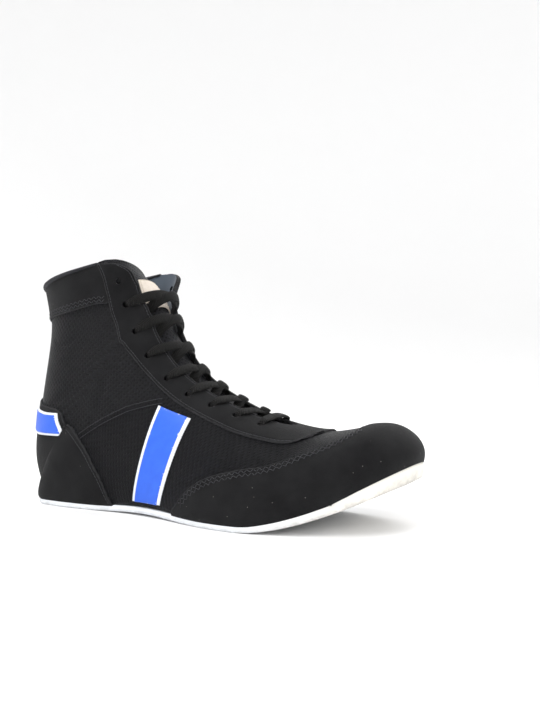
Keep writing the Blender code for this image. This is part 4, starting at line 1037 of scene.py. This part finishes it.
def trim_material(name, dark, light, bare, peel):
    """Coated synthetic leather; near its edges the coat has peeled in flecks to the bare colour."""
    made, tree, shader = new_material(name, Roughness=0.42, Specular_IOR_Level=0.4)
    lay = put(tree, "ShaderNodeUVMap", uv_map="lay")
    tint = put(tree, "ShaderNodeTexNoise", {"Vector": lay.outputs[0], "Scale": 0.15, "Detail": 4.0})
    coat = put(tree, "ShaderNodeMix", {"Factor": tint.outputs[0], "A": linear(dark), "B": linear(light)},
               data_type="RGBA")
    edge = put(tree, "ShaderNodeAttribute", attribute_name="edge")
    near = put(tree, "ShaderNodeMapRange", {"Value": edge.outputs["Fac"], "From Min": 0.0, "From Max": 1.8,
                                            "To Min": peel, "To Max": peel - 0.22})
    flakes = put(tree, "ShaderNodeTexNoise", {"Vector": lay.outputs[0], "Scale": 0.7, "Detail": 6.0})
    worn = put(tree, "ShaderNodeMath", {0: flakes.outputs[0], 1: near.outputs[0]}, operation="ADD")
    gone = put(tree, "ShaderNodeMapRange", {"Value": worn.outputs[0], "From Min": 0.62, "From Max": 0.65})
    colour = put(tree, "ShaderNodeMix", {"Factor": gone.outputs[0], "A": coat.outputs[2],
                                         "B": linear(bare)}, data_type="RGBA")
    tree.links.new(colour.outputs[2], shader.inputs["Base Color"])
    grain = put(tree, "ShaderNodeTexVoronoi", {"Vector": lay.outputs[0], "Scale": 1.5})
    bump = put(tree, "ShaderNodeBump", {"Height": grain.outputs["Distance"], "Strength": 0.35,
                                        "Distance": 0.0001})
    tree.links.new(bump.outputs[0], shader.inputs["Normal"])
    return made


coated_blue = trim_material("coated_leather_blue", "#2456C8", "#2E66DE", "#D8DEEA", 0.05)
coated_white = trim_material("coated_leather_white", "#D9DCE2", "#E6E8EC", "#A9ABAF", 0.0)


def band_piece(name, shares, low, high, sides, node, made, height, base):
    """A band between two places at each share, on one side or on both, lying on a base height."""
    dense = np.linspace(shares[0], shares[-1], 260)
    ends = [end for end in (0, -1) if shares[end] < 0.999]
    edges = []
    for side in sides:
        edges += [(np.interp(dense, shares, row), side * dense) for row in (low, high)]
        edges += [(np.linspace(low[end], high[end], 90), np.full(90, side * shares[end])) for end in ends]
    sheets = [sheet for sheet, side in zip(cross_panel(shares, low, high, 16), (-1, 1)) if side in sides]
    return overlay(name, sheets, edges, [node], (), height, 0.0004, [made], None, lambda k, c: base)


for layer, widen, base, height, made, slot in (
        ("edging", EDGING_WIDEN, 0.0, EDGING_LIFT, coated_white, "edging_white"),
        ("band", 0.0, EDGING_LIFT, BAND_LIFT, coated_blue, "band_blue")):
    saddle_c = crowd(*SADDLE_SHARES, 0.008, (0.0015, 0.004))
    t = (saddle_c - SADDLE_SHARES[0]) / (SADDLE_SHARES[1] - SADDLE_SHARES[0])
    front = SADDLE_TOP[0] + (SADDLE_FOOT[0] - SADDLE_TOP[0]) * t
    back = SADDLE_TOP[1] + (SADDLE_FOOT[1] - SADDLE_TOP[1]) * t
    extra = widen * (back - front)
    for side, word in ((-1, "outer"), (1, "inner")):
        band_piece("saddle_%s_%s_coated" % (layer, word), saddle_c, front - extra, back + extra, (side,),
                   "saddle_%s_%s" % (layer, word), made, height, base)
    heel_c = crowd(HEEL_BAND_LOWER[0][0] - EDGING_SHARE * (widen > 0), 1.0, 0.008, (0.0015, 0.004))
    lower, upper = edge_curve(HEEL_BAND_LOWER, heel_c), edge_curve(HEEL_BAND_UPPER, heel_c)
    extra = widen * (upper - lower)
    band_piece("heel_%s_coated" % layer, heel_c, place_at_height(heel_c, lower - extra),
               place_at_height(heel_c, upper + extra), (-1, 1), "heel_" + layer, made, height,
               base + OVERLAY)


# Outsole and insole
# One white rubber unit with a low rounded side, grooves across under the heel and the ball and a fine
# diamond tread. Its side is dirty near the ground and warmer at the toe. The insole is lining cloth.
SOLE_LIP = 0.0014
SOLE_GAP = 0.0003
INSOLE_THICKNESS = 0.0030
INSOLE_INSET = 0.0046
TREAD_FIELDS = ((0.09, 0.25, 4), (0.55, 0.90, 8))
GROOVE_WIDTH = 0.0030
TREAD_DEPTH = 0.0010
TREAD_REACH = 0.82
# Side of the sole from its top edge to the ground: shares of the side's height and of the lip
SOLE_PROFILE = (
    (1.00, -0.50), (1.00, 0.20), (0.97, 0.52), (0.90, 0.82), (0.75, 0.97), (0.45, 1.00), (0.20, 0.85),
    (0.08, 0.55), (0.02, 0.20), (0.00, -0.20),
)


def rim_height(x):
    """Height of the upper's lower edge: the feather line, then the slanting rim of the toe."""
    base_x, base_z, top_x, top_z = SECTION_ROWS[0, :4]
    slant = base_z + (x - base_x) * (top_z - base_z) / (top_x - base_x)
    return np.where(x < base_x, feather_height(x), slant)


def sole_loop(offset):
    """Outline of the sole in plan, moved outwards; it runs from the heel's back round by the toe."""
    start, cap = HEEL_END * LENGTH, HEEL_CAP * LENGTH
    heel = start + (cap - start) * (1 - np.cos(np.linspace(0.0, math.pi / 2, 26)))
    x = np.concatenate([heel, np.linspace(cap, SECTION_ROWS[0, 0], 90)[1:-1]])
    middle, wide = sole_centre(x), sole_half_width(x)
    near = np.concatenate([np.column_stack([x, middle - wide]), outer_half[0, ::-6, :2]])
    far = np.concatenate([np.column_stack([x, middle + wide]), inner_half[0, ::-6, :2]])
    loop = np.concatenate([near, far[::-1][1:-1]])
    tangent = np.roll(loop, -1, axis=0) - np.roll(loop, 1, axis=0)
    tangent /= np.linalg.norm(tangent, axis=1, keepdims=True)
    return loop + np.stack([tangent[:, 1], -tangent[:, 0]], -1) * offset


def loop_solid(name, rings, levels):
    """Closed mesh from rings of equal size, both ends closed across the foot; a level marks each."""
    count = len(rings[0])
    faces = []
    for r in range(len(rings) - 1):
        for i in range(count):
            j = (i + 1) % count
            faces.append([r * count + i, r * count + j, (r + 1) * count + j, (r + 1) * count + i])
    for base in (0, (len(rings) - 1) * count):
        for i in range(count // 2):
            ladder = dict.fromkeys([i, i + 1, count - i - 1, (count - i) % count])
            faces.append([base + v for v in ladder])
    mesh = bpy.data.meshes.new(name)
    mesh.from_pydata((np.concatenate(rings) - ORIGIN).tolist(), [], faces)
    mark = mesh.attributes.new("level", "FLOAT", "POINT")
    mark.data.foreach_set("value", np.repeat(np.array(levels, float), count))
    bm = bmesh.new()
    bm.from_mesh(mesh)
    bmesh.ops.remove_doubles(bm, verts=bm.verts, dist=1e-6)
    bmesh.ops.recalc_face_normals(bm, faces=bm.faces)
    bm.to_mesh(mesh)
    bm.free()
    mesh.shade_smooth()
    return mesh


def rubber_material():
    """Solid white rubber, satin, with dirt low on the side and a diamond tread 2.5 mm apart below."""
    made, tree, shader = new_material("rubber_white_moulded", Roughness=0.5, Specular_IOR_Level=0.4)
    place = put(tree, "ShaderNodeTexCoord")
    mm = put(tree, "ShaderNodeVectorMath", {0: place.outputs["Object"], "Scale": 1000.0}, operation="SCALE")
    split = put(tree, "ShaderNodeSeparateXYZ", {0: mm.outputs[0]})
    warm = put(tree, "ShaderNodeMapRange", {"Value": split.outputs[0], "From Min": 50.0, "From Max": 125.0})
    clean = put(tree, "ShaderNodeMix", {"Factor": warm.outputs[0], "A": linear("#DFE2E6"),
                                        "B": linear("#E8E4DC")}, data_type="RGBA")
    level = put(tree, "ShaderNodeAttribute", attribute_name="level")
    low = put(tree, "ShaderNodeMapRange", {"Value": level.outputs["Fac"], "From Min": 0.7, "From Max": 0.0,
                                           "To Min": 0.0, "To Max": 0.6})
    smear = put(tree, "ShaderNodeTexNoise", {"Vector": mm.outputs[0], "Scale": 0.12, "Detail": 7.0,
                                             "Roughness": 0.7})
    patch = put(tree, "ShaderNodeMapRange", {"Value": smear.outputs[0], "From Min": 0.42, "From Max": 0.72})
    dirt = put(tree, "ShaderNodeMath", {0: low.outputs[0], 1: patch.outputs[0]}, operation="MULTIPLY")
    colour = put(tree, "ShaderNodeMix", {"Factor": dirt.outputs[0], "A": clean.outputs[2],
                                         "B": linear("#7F7B73")}, data_type="RGBA")
    tree.links.new(colour.outputs[2], shader.inputs["Base Color"])
    waves = []
    for turn_y in (1.0, -1.0):
        lean = put(tree, "ShaderNodeMath", {0: split.outputs[1], 1: turn_y, 2: split.outputs[0]},
                   operation="MULTIPLY_ADD")
        phase = put(tree, "ShaderNodeMath", {0: lean.outputs[0], 1: math.pi / 2.5}, operation="MULTIPLY")
        waves.append(put(tree, "ShaderNodeMath", {0: phase.outputs[0]}, operation="SINE"))
    knobs = put(tree, "ShaderNodeMath", {0: waves[0].outputs[0], 1: waves[1].outputs[0]},
                operation="MULTIPLY")
    below = put(tree, "ShaderNodeMapRange", {"Value": level.outputs["Fac"], "From Min": 0.05,
                                             "From Max": 0.0})
    tread = put(tree, "ShaderNodeMath", {0: knobs.outputs[0], 1: below.outputs[0]}, operation="MULTIPLY")
    bump = put(tree, "ShaderNodeBump", {"Height": tread.outputs[0], "Strength": 1.0, "Distance": 0.0006})
    tree.links.new(bump.outputs[0], shader.inputs["Normal"])
    return made


rings = []
for level, lip in SOLE_PROFILE:
    loop = sole_loop(lip * SOLE_LIP)
    ground, top = sole_underside(loop[:, 0]), rim_height(loop[:, 0]) - SOLE_GAP
    rings.append(np.column_stack([loop, ground + (top - ground) * level]))
mesh = loop_solid("outsole_rubber", rings, [row[0] for row in SOLE_PROFILE])
bm = bmesh.new()
for start, end, count in TREAD_FIELDS:
    for x in np.linspace(start, end, count) * LENGTH:
        slope = (sole_underside(x + GROOVE_WIDTH) - sole_underside(x - GROOVE_WIDTH)) / (2 * GROOVE_WIDTH)
        centre = np.array([x, float(sole_centre(x)[0]), float(sole_underside(x))]) - ORIGIN
        reach = TREAD_REACH * float(np.ravel(sole_half_width(x))[0])
        size = Matrix.Diagonal((GROOVE_WIDTH, 2 * reach, 2 * TREAD_DEPTH, 1.0))
        turn = Matrix.Rotation(-math.atan(float(slope)), 4, "Y")
        bmesh.ops.create_cube(bm, size=1.0, matrix=Matrix.Translation(Vector(centre)) @ turn @ size)
groove_mesh = bpy.data.meshes.new("tread_grooves")
bm.to_mesh(groove_mesh)
bm.free()
grooves = bpy.data.objects.new("tread_grooves", groove_mesh)
bpy.context.scene.collection.objects.link(grooves)


def cut_grooves(piece):
    """Take the tread's grooves out of the sole."""
    cut = piece.modifiers.new("grooves", "BOOLEAN")
    cut.operation = "DIFFERENCE"
    cut.object = grooves
    cut.solver = "EXACT"


add_piece("outsole_rubber", mesh, [rubber_material()], ["outsole"], detail=cut_grooves)
bpy.data.objects.remove(grooves, do_unlink=True)

rings = []
for inset, level in ((0.0020, 1.0), (0.0003, 1.0), (0.0, 0.85), (0.0, 0.0), (0.0020, 0.0)):
    loop = sole_loop(-INSOLE_INSET - inset)
    rings.append(np.column_stack([loop, rim_height(loop[:, 0]) + INSOLE_THICKNESS * level]))
mesh = loop_solid("insole_cloth", rings, [0.0] * len(rings))
cloth = mesh.uv_layers.new(name="lay")
for corner in mesh.loops:
    x, y = mesh.vertices[corner.vertex_index].co[:2]
    cloth.data[corner.index].uv = (x * 1000, y * 1000)
add_piece("insole_cloth", mesh, [lining], ["insole"])


# Lace
# One flat ribbed polyester lace. It comes out of each hole, lies over the eyestay, crosses the tongue
# and dives under the other side, where each run is modelled only as far as it could be seen.
LACE_WIDTH = 0.0066
LACE_THICKNESS = 0.0020
LACE_UNDER = 0.0016
LACE_OVER = 0.0036
LACE_TUCK = 0.006
LACE_BOW = -0.04
LACE_STATION = 0.0009
LACE_CORNERS = 18


def lace_material():
    """Braided polyester lace: ribs across 1 mm apart that bend in the middle, with a low thread gloss."""
    made, tree, shader = new_material("lace_ribbed_black", Roughness=0.7, Specular_IOR_Level=0.2)
    lay = put(tree, "ShaderNodeUVMap", uv_map="lay")
    split = put(tree, "ShaderNodeSeparateXYZ", {0: lay.outputs[0]})
    away = put(tree, "ShaderNodeMath", {0: split.outputs[1]}, operation="ABSOLUTE")
    lean = put(tree, "ShaderNodeMath", {0: away.outputs[0], 1: 0.5, 2: split.outputs[0]},
               operation="MULTIPLY_ADD")
    phase = put(tree, "ShaderNodeMath", {0: lean.outputs[0], 1: 2 * math.pi / 1.1}, operation="MULTIPLY")
    rib = put(tree, "ShaderNodeMath", {0: phase.outputs[0]}, operation="SINE")
    yarn = put(tree, "ShaderNodeTexNoise", {"Vector": lay.outputs[0], "Scale": 2.2, "Detail": 3.0})
    tint = put(tree, "ShaderNodeMath", {0: rib.outputs[0], 1: 0.6, 2: yarn.outputs[0]},
               operation="MULTIPLY_ADD")
    colour = put(tree, "ShaderNodeMix", {"Factor": tint.outputs[0], "A": linear("#0D0D0D"),
                                         "B": linear("#201F1E")}, data_type="RGBA")
    tree.links.new(colour.outputs[2], shader.inputs["Base Color"])
    bump = put(tree, "ShaderNodeBump", {"Height": rib.outputs[0], "Strength": 1.0, "Distance": 0.0006})
    tree.links.new(bump.outputs[0], shader.inputs["Normal"])
    return made


def lace_strip(stops, lifts, widths, depths):
    """Rings of a lace along stops of place and across. Lifts, widths and depths each make, from the
    lace's length and the way to the far throat edge, a table by the distance from its start."""
    stops = np.array(stops, float)
    at = spline(np.linspace(0.0, 1.0, len(stops)), stops, np.linspace(0.0, 1.0, 400))
    base = on_form(at[:, 0], at[:, 1], np.zeros(400))
    run = np.concatenate([[0.0], np.cumsum(np.linalg.norm(np.diff(base, axis=0), axis=1))])
    edge = run[-1] - LACE_TUCK
    along = np.linspace(0.0, run[-1], max(12, int(run[-1] / LACE_STATION)))
    places, across = (np.interp(along, run, at[:, i]) for i in (0, 1))
    lift = edge_curve(lifts(run[-1], edge), along)
    ground = on_form(places, across, 0 * along)
    out = on_form(places, across, 0 * along + 0.001) - ground
    out /= np.linalg.norm(out, axis=1, keepdims=True)
    line = ground + out * lift[:, None]
    aside = np.cross(np.gradient(ground, axis=0), out)
    aside /= np.linalg.norm(aside, axis=1, keepdims=True)
    forward = np.gradient(line, axis=0)
    forward /= np.linalg.norm(forward, axis=1, keepdims=True)
    up = np.cross(aside, forward)
    wide = np.interp(along, *np.array(widths(run[-1], edge)).T)[:, None] / 2
    deep = np.interp(along, *np.array(depths(run[-1], edge)).T)[:, None] / 2
    turn = np.linspace(0.0, 2 * math.pi, LACE_CORNERS + 1)[None]
    flat = np.sign(np.cos(turn)) * np.abs(np.cos(turn)) ** 0.75 * wide
    tall = np.sign(np.sin(turn)) * np.abs(np.sin(turn)) ** 0.85 * deep
    rings = line[:, None] + aside[:, None] * flat[..., None] + up[:, None] * tall[..., None]
    measure = np.cumsum(np.concatenate([[0.0], np.linalg.norm(np.diff(line, axis=0), axis=1)])) * 1000
    lay = np.stack([np.repeat(measure[:, None], LACE_CORNERS + 1, axis=1), flat * 1000], -1)
    return rings, lay, False


def lace_run(index, side):
    """The lace from a hole, over the throat and in under the other side."""
    start, below = EYELET_PLACES[index], EYELET_PLACES[index + 1]
    end = below + 0.25 * (start - below)
    from_c = side * float(np.interp(start, *np.array(EYELET_LINE).T))
    to_c = -side * float(throat(end) + LACE_TUCK / np.interp(end, form_places, outer_girth))
    t = np.linspace(0.0, 1.0, 7)
    bow = LACE_BOW * (start - below) * np.sin(math.pi * t)
    middle = LACE_OVER if side > 0 else LACE_UNDER
    lifts = lambda run, edge: ((0.0, -0.0040), (0.0012, 0.0006), (0.0046, 0.0028), (0.38 * run, 0.0026),
                               (0.55 * run, middle), (edge - 0.0075, 0.0012), (edge, -0.0026),
                               (run, -0.0028))
    widths = lambda run, edge: ((0.0, 0.0038), (0.0020, 0.0042), (0.0065, LACE_WIDTH), (run, LACE_WIDTH))
    depths = lambda run, edge: ((0.0, 0.0024), (0.0065, LACE_THICKNESS), (edge - 0.006, LACE_THICKNESS),
                                (edge, 0.0009), (run, 0.0008))
    stops = np.column_stack([start + (end - start) * t + bow, from_c + (to_c - from_c) * t])
    return lace_strip(stops, lifts, widths, depths)


def lace_bar(index):
    """The straight lowest run, from hole to hole on top."""
    place = EYELET_PLACES[index]
    share = float(np.interp(place, *np.array(EYELET_LINE).T))
    lifts = lambda run, edge: ((0.0, -0.0040), (0.0012, 0.0006), (0.0046, 0.0028), (0.5 * run, 0.0034),
                               (run - 0.0046, 0.0028), (run - 0.0012, 0.0006), (run, -0.0040))
    widths = lambda run, edge: ((0.0, 0.0038), (0.0020, 0.0042), (0.0065, LACE_WIDTH),
                                (run - 0.0065, LACE_WIDTH), (run - 0.0020, 0.0042), (run, 0.0038))
    depths = lambda run, edge: ((0.0, 0.0024), (0.0065, LACE_THICKNESS), (run - 0.0065, LACE_THICKNESS),
                                (run, 0.0024))
    return lace_strip([(place, -share), (place - 0.04, 0.0), (place, share)], lifts, widths, depths)


lowest = len(EYELET_PLACES) - 1
strips = [lace_run(index, side) for index in range(1, lowest) for side in (-1, 1)] + [lace_bar(lowest)]
mesh = mesh_from("lace_ribbed", strips)
tidy_mesh(mesh, 1e-6)
close_ends(mesh)
add_piece("lace_ribbed", mesh, [lace_material()], ["lace_crossings"])


# Stitches
# Polyester sewing thread laid along each seam: it rises over a stitch and dips into the panel between
# two. The toe cap and the collar band are held by double rows of zigzag, the rest by plain rows.
THREAD_RADIUS = 0.00021
STITCH = 0.0023
ZIGZAG = 0.0019
ZIGZAG_REACH = 0.0009
ZIGZAG_ROWS = (0.0022, 0.0044)
SEAM_ROWS = (-0.0016, 0.0016)
THREAD_DIP = 0.00030
THREAD_RISE = 0.00042
THREAD_UNEVEN = 0.00004


def thread_tree():
    """Node tree that lays a round thread along all edges of a mesh."""
    tree = bpy.data.node_groups.new("sewn thread", "GeometryNodeTree")
    tree.interface.new_socket("Geometry", in_out="INPUT", socket_type="NodeSocketGeometry")
    tree.interface.new_socket("Thread radius", in_out="INPUT", socket_type="NodeSocketFloat")
    tree.interface.new_socket("Unevenness", in_out="INPUT", socket_type="NodeSocketFloat")
    tree.interface.new_socket("Seed", in_out="INPUT", socket_type="NodeSocketInt")
    tree.interface.new_socket("Thread", in_out="INPUT", socket_type="NodeSocketMaterial")
    tree.interface.new_socket("Geometry", in_out="OUTPUT", socket_type="NodeSocketGeometry")
    given = put(tree, "NodeGroupInput")
    curve = put(tree, "GeometryNodeMeshToCurve", {"Mesh": given.outputs["Geometry"]})
    chance = put(tree, "FunctionNodeRandomValue", {"Min": (-1.0, -1.0, -1.0), "Max": (1.0, 1.0, 1.0),
                                                   "Seed": given.outputs["Seed"]}, data_type="FLOAT_VECTOR")
    shift = put(tree, "ShaderNodeVectorMath", {0: chance.outputs[0], "Scale": given.outputs["Unevenness"]},
                operation="SCALE")
    moved = put(tree, "GeometryNodeSetPosition", {"Geometry": curve.outputs[0], "Offset": shift.outputs[0]})
    ring = put(tree, "GeometryNodeCurvePrimitiveCircle", {"Resolution": 6,
                                                          "Radius": given.outputs["Thread radius"]})
    tube = put(tree, "GeometryNodeCurveToMesh", {"Curve": moved.outputs[0], "Profile Curve": ring.outputs[0]})
    soft = put(tree, "GeometryNodeSetShadeSmooth", {"Geometry": tube.outputs[0]})
    real = put(tree, "GeometryNodeRealizeInstances", {"Geometry": soft.outputs[0]})
    done = put(tree, "GeometryNodeSetMaterial", {"Geometry": real.outputs[0],
                                                 "Material": given.outputs["Thread"]})
    put(tree, "NodeGroupOutput", {"Geometry": done.outputs[0]})
    return tree


def seam_thread(places, across, height, aside=0.0, zigzag=False, surface=on_form):
    """Points of a thread along a line of places and across, moved aside by metres in the surface."""
    places, across = np.asarray(places, float), np.asarray(across, float)
    ground = surface(places, across, 0 * places)
    out = surface(places, across, 0 * places + 0.001) - ground
    out /= np.linalg.norm(out, axis=1, keepdims=True)
    beside = np.cross(np.gradient(ground, axis=0), out)
    beside /= np.maximum(np.linalg.norm(beside, axis=1, keepdims=True), 1e-12)
    ground = ground + beside * aside
    run = np.concatenate([[0.0], np.cumsum(np.linalg.norm(np.diff(ground, axis=0), axis=1))])
    pitch = ZIGZAG if zigzag else STITCH
    count = max(1, int(run[-1] / pitch))
    along = np.linspace(0.0, run[-1], count * 6 + 1)
    stage = np.arange(count * 6 + 1) / 6.0
    part = stage % 1.0
    rise = np.where((part > 0.1) & (part < 0.7), 1.0, np.where((part > 0.0) & (part < 0.9), 0.6, 0.0))
    swing = ZIGZAG_REACH * (2 * np.abs(((stage / 2) % 1.0) * 2 - 1) - 1) if zigzag else 0 * stage
    ground, out, beside = [np.stack([np.interp(along, run, table[:, i]) for i in range(3)], -1)
                           for table in (ground, out, beside)]
    return ground + beside * swing[:, None] + out * (height - THREAD_DIP + THREAD_RISE * rise)[:, None]


def add_stitches(name, threads, made, seed):
    """One piece from a list of thread lines."""
    points = np.concatenate(threads)
    edges, base = [], 0
    for line in threads:
        edges += [(base + i, base + i + 1) for i in range(len(line) - 1)]
        base += len(line)
    mesh = bpy.data.meshes.new(name)
    mesh.from_pydata(points.tolist(), edges, [])

    def sew(piece):
        sewn = piece.modifiers.new("sewn thread", "NODES")
        sewn.node_group = sewing
        given = {"Thread radius": THREAD_RADIUS, "Unevenness": THREAD_UNEVEN, "Seed": seed, "Thread": made}
        for item in sewing.interface.items_tree:
            if item.in_out == "INPUT" and item.name in given:
                sewn[item.identifier] = given[item.name]

    add_piece(name, mesh, [], (), detail=sew)


def sewing_thread(name, colour):
    """Spun polyester thread of one colour with a low gloss."""
    made, _, shader = new_material(name, Roughness=0.5, Specular_IOR_Level=0.35)
    shader.inputs["Base Color"].default_value = linear(colour)
    return made


sewing = thread_tree()
thread_black = sewing_thread("sewing_thread_black", "#2E2E32")
thread_beige = sewing_thread("sewing_thread_beige", "#BDB09F")

stay_threads = [seam_thread(k, c, OVERLAY - GROOVE_DEPTH) for k, c in eyestay_seams]
heel_threads = [seam_thread(k, c, OVERLAY - GROOVE_DEPTH) for k, c in counter_seams]
cap_threads, band_threads = [], []
quarter_k = np.linspace(QUARTER_SEAM[0][0], QUARTER_SEAM[-1][0], 160)
quarter_c = np.interp(quarter_k, *np.array(QUARTER_SEAM).T)
cap_at = cap_k[(cap_k > 4.46) & (cap_k < 8.7)]
band_at = np.linspace(0.315, 0.999, 300)
for side in (-1, 1):
    heel_threads += [seam_thread(quarter_k, side * quarter_c, 0.0003, aside) for aside in SEAM_ROWS]
    for inset in ZIGZAG_ROWS:
        cap_threads.append(seam_thread(cap_at, side * cap_edge(cap_at), OVERLAY, side * inset, True))
        band_threads.append(seam_thread(edge_curve(BAND_LOWER, band_at), side * band_at, BAND_HEIGHT,
                                        -side * inset, True))
# How far the stitches run inside the label's edges, as a place and a share
LABEL_INSET = (0.10, 0.009)
label_k = (LABEL_PLACES[0] + LABEL_INSET[0], LABEL_PLACES[1] - LABEL_INSET[0])
label_c = (LABEL_SHARES[0] + LABEL_INSET[1], LABEL_SHARES[1] - LABEL_INSET[1])
label_top = LABEL_LIFT + LABEL_THICKNESS
label_threads = [seam_thread(np.linspace(*label_k, 60), np.full(60, c), label_top, surface=on_tongue)
                 for c in label_c]
label_threads += [seam_thread(np.full(60, k), np.linspace(*label_c, 60), label_top, surface=on_tongue)
                  for k in label_k]
for name, threads, made, seed in (
        ("eyestay_stitches", stay_threads, thread_black, 3),
        ("heel_stitches", heel_threads, thread_black, 5),
        ("toe_cap_stitches", cap_threads, thread_black, 7),
        ("collar_band_stitches", band_threads, thread_black, 11),
        ("label_stitches", label_threads, thread_beige, 13)):
    add_stitches(name, threads, made, seed)
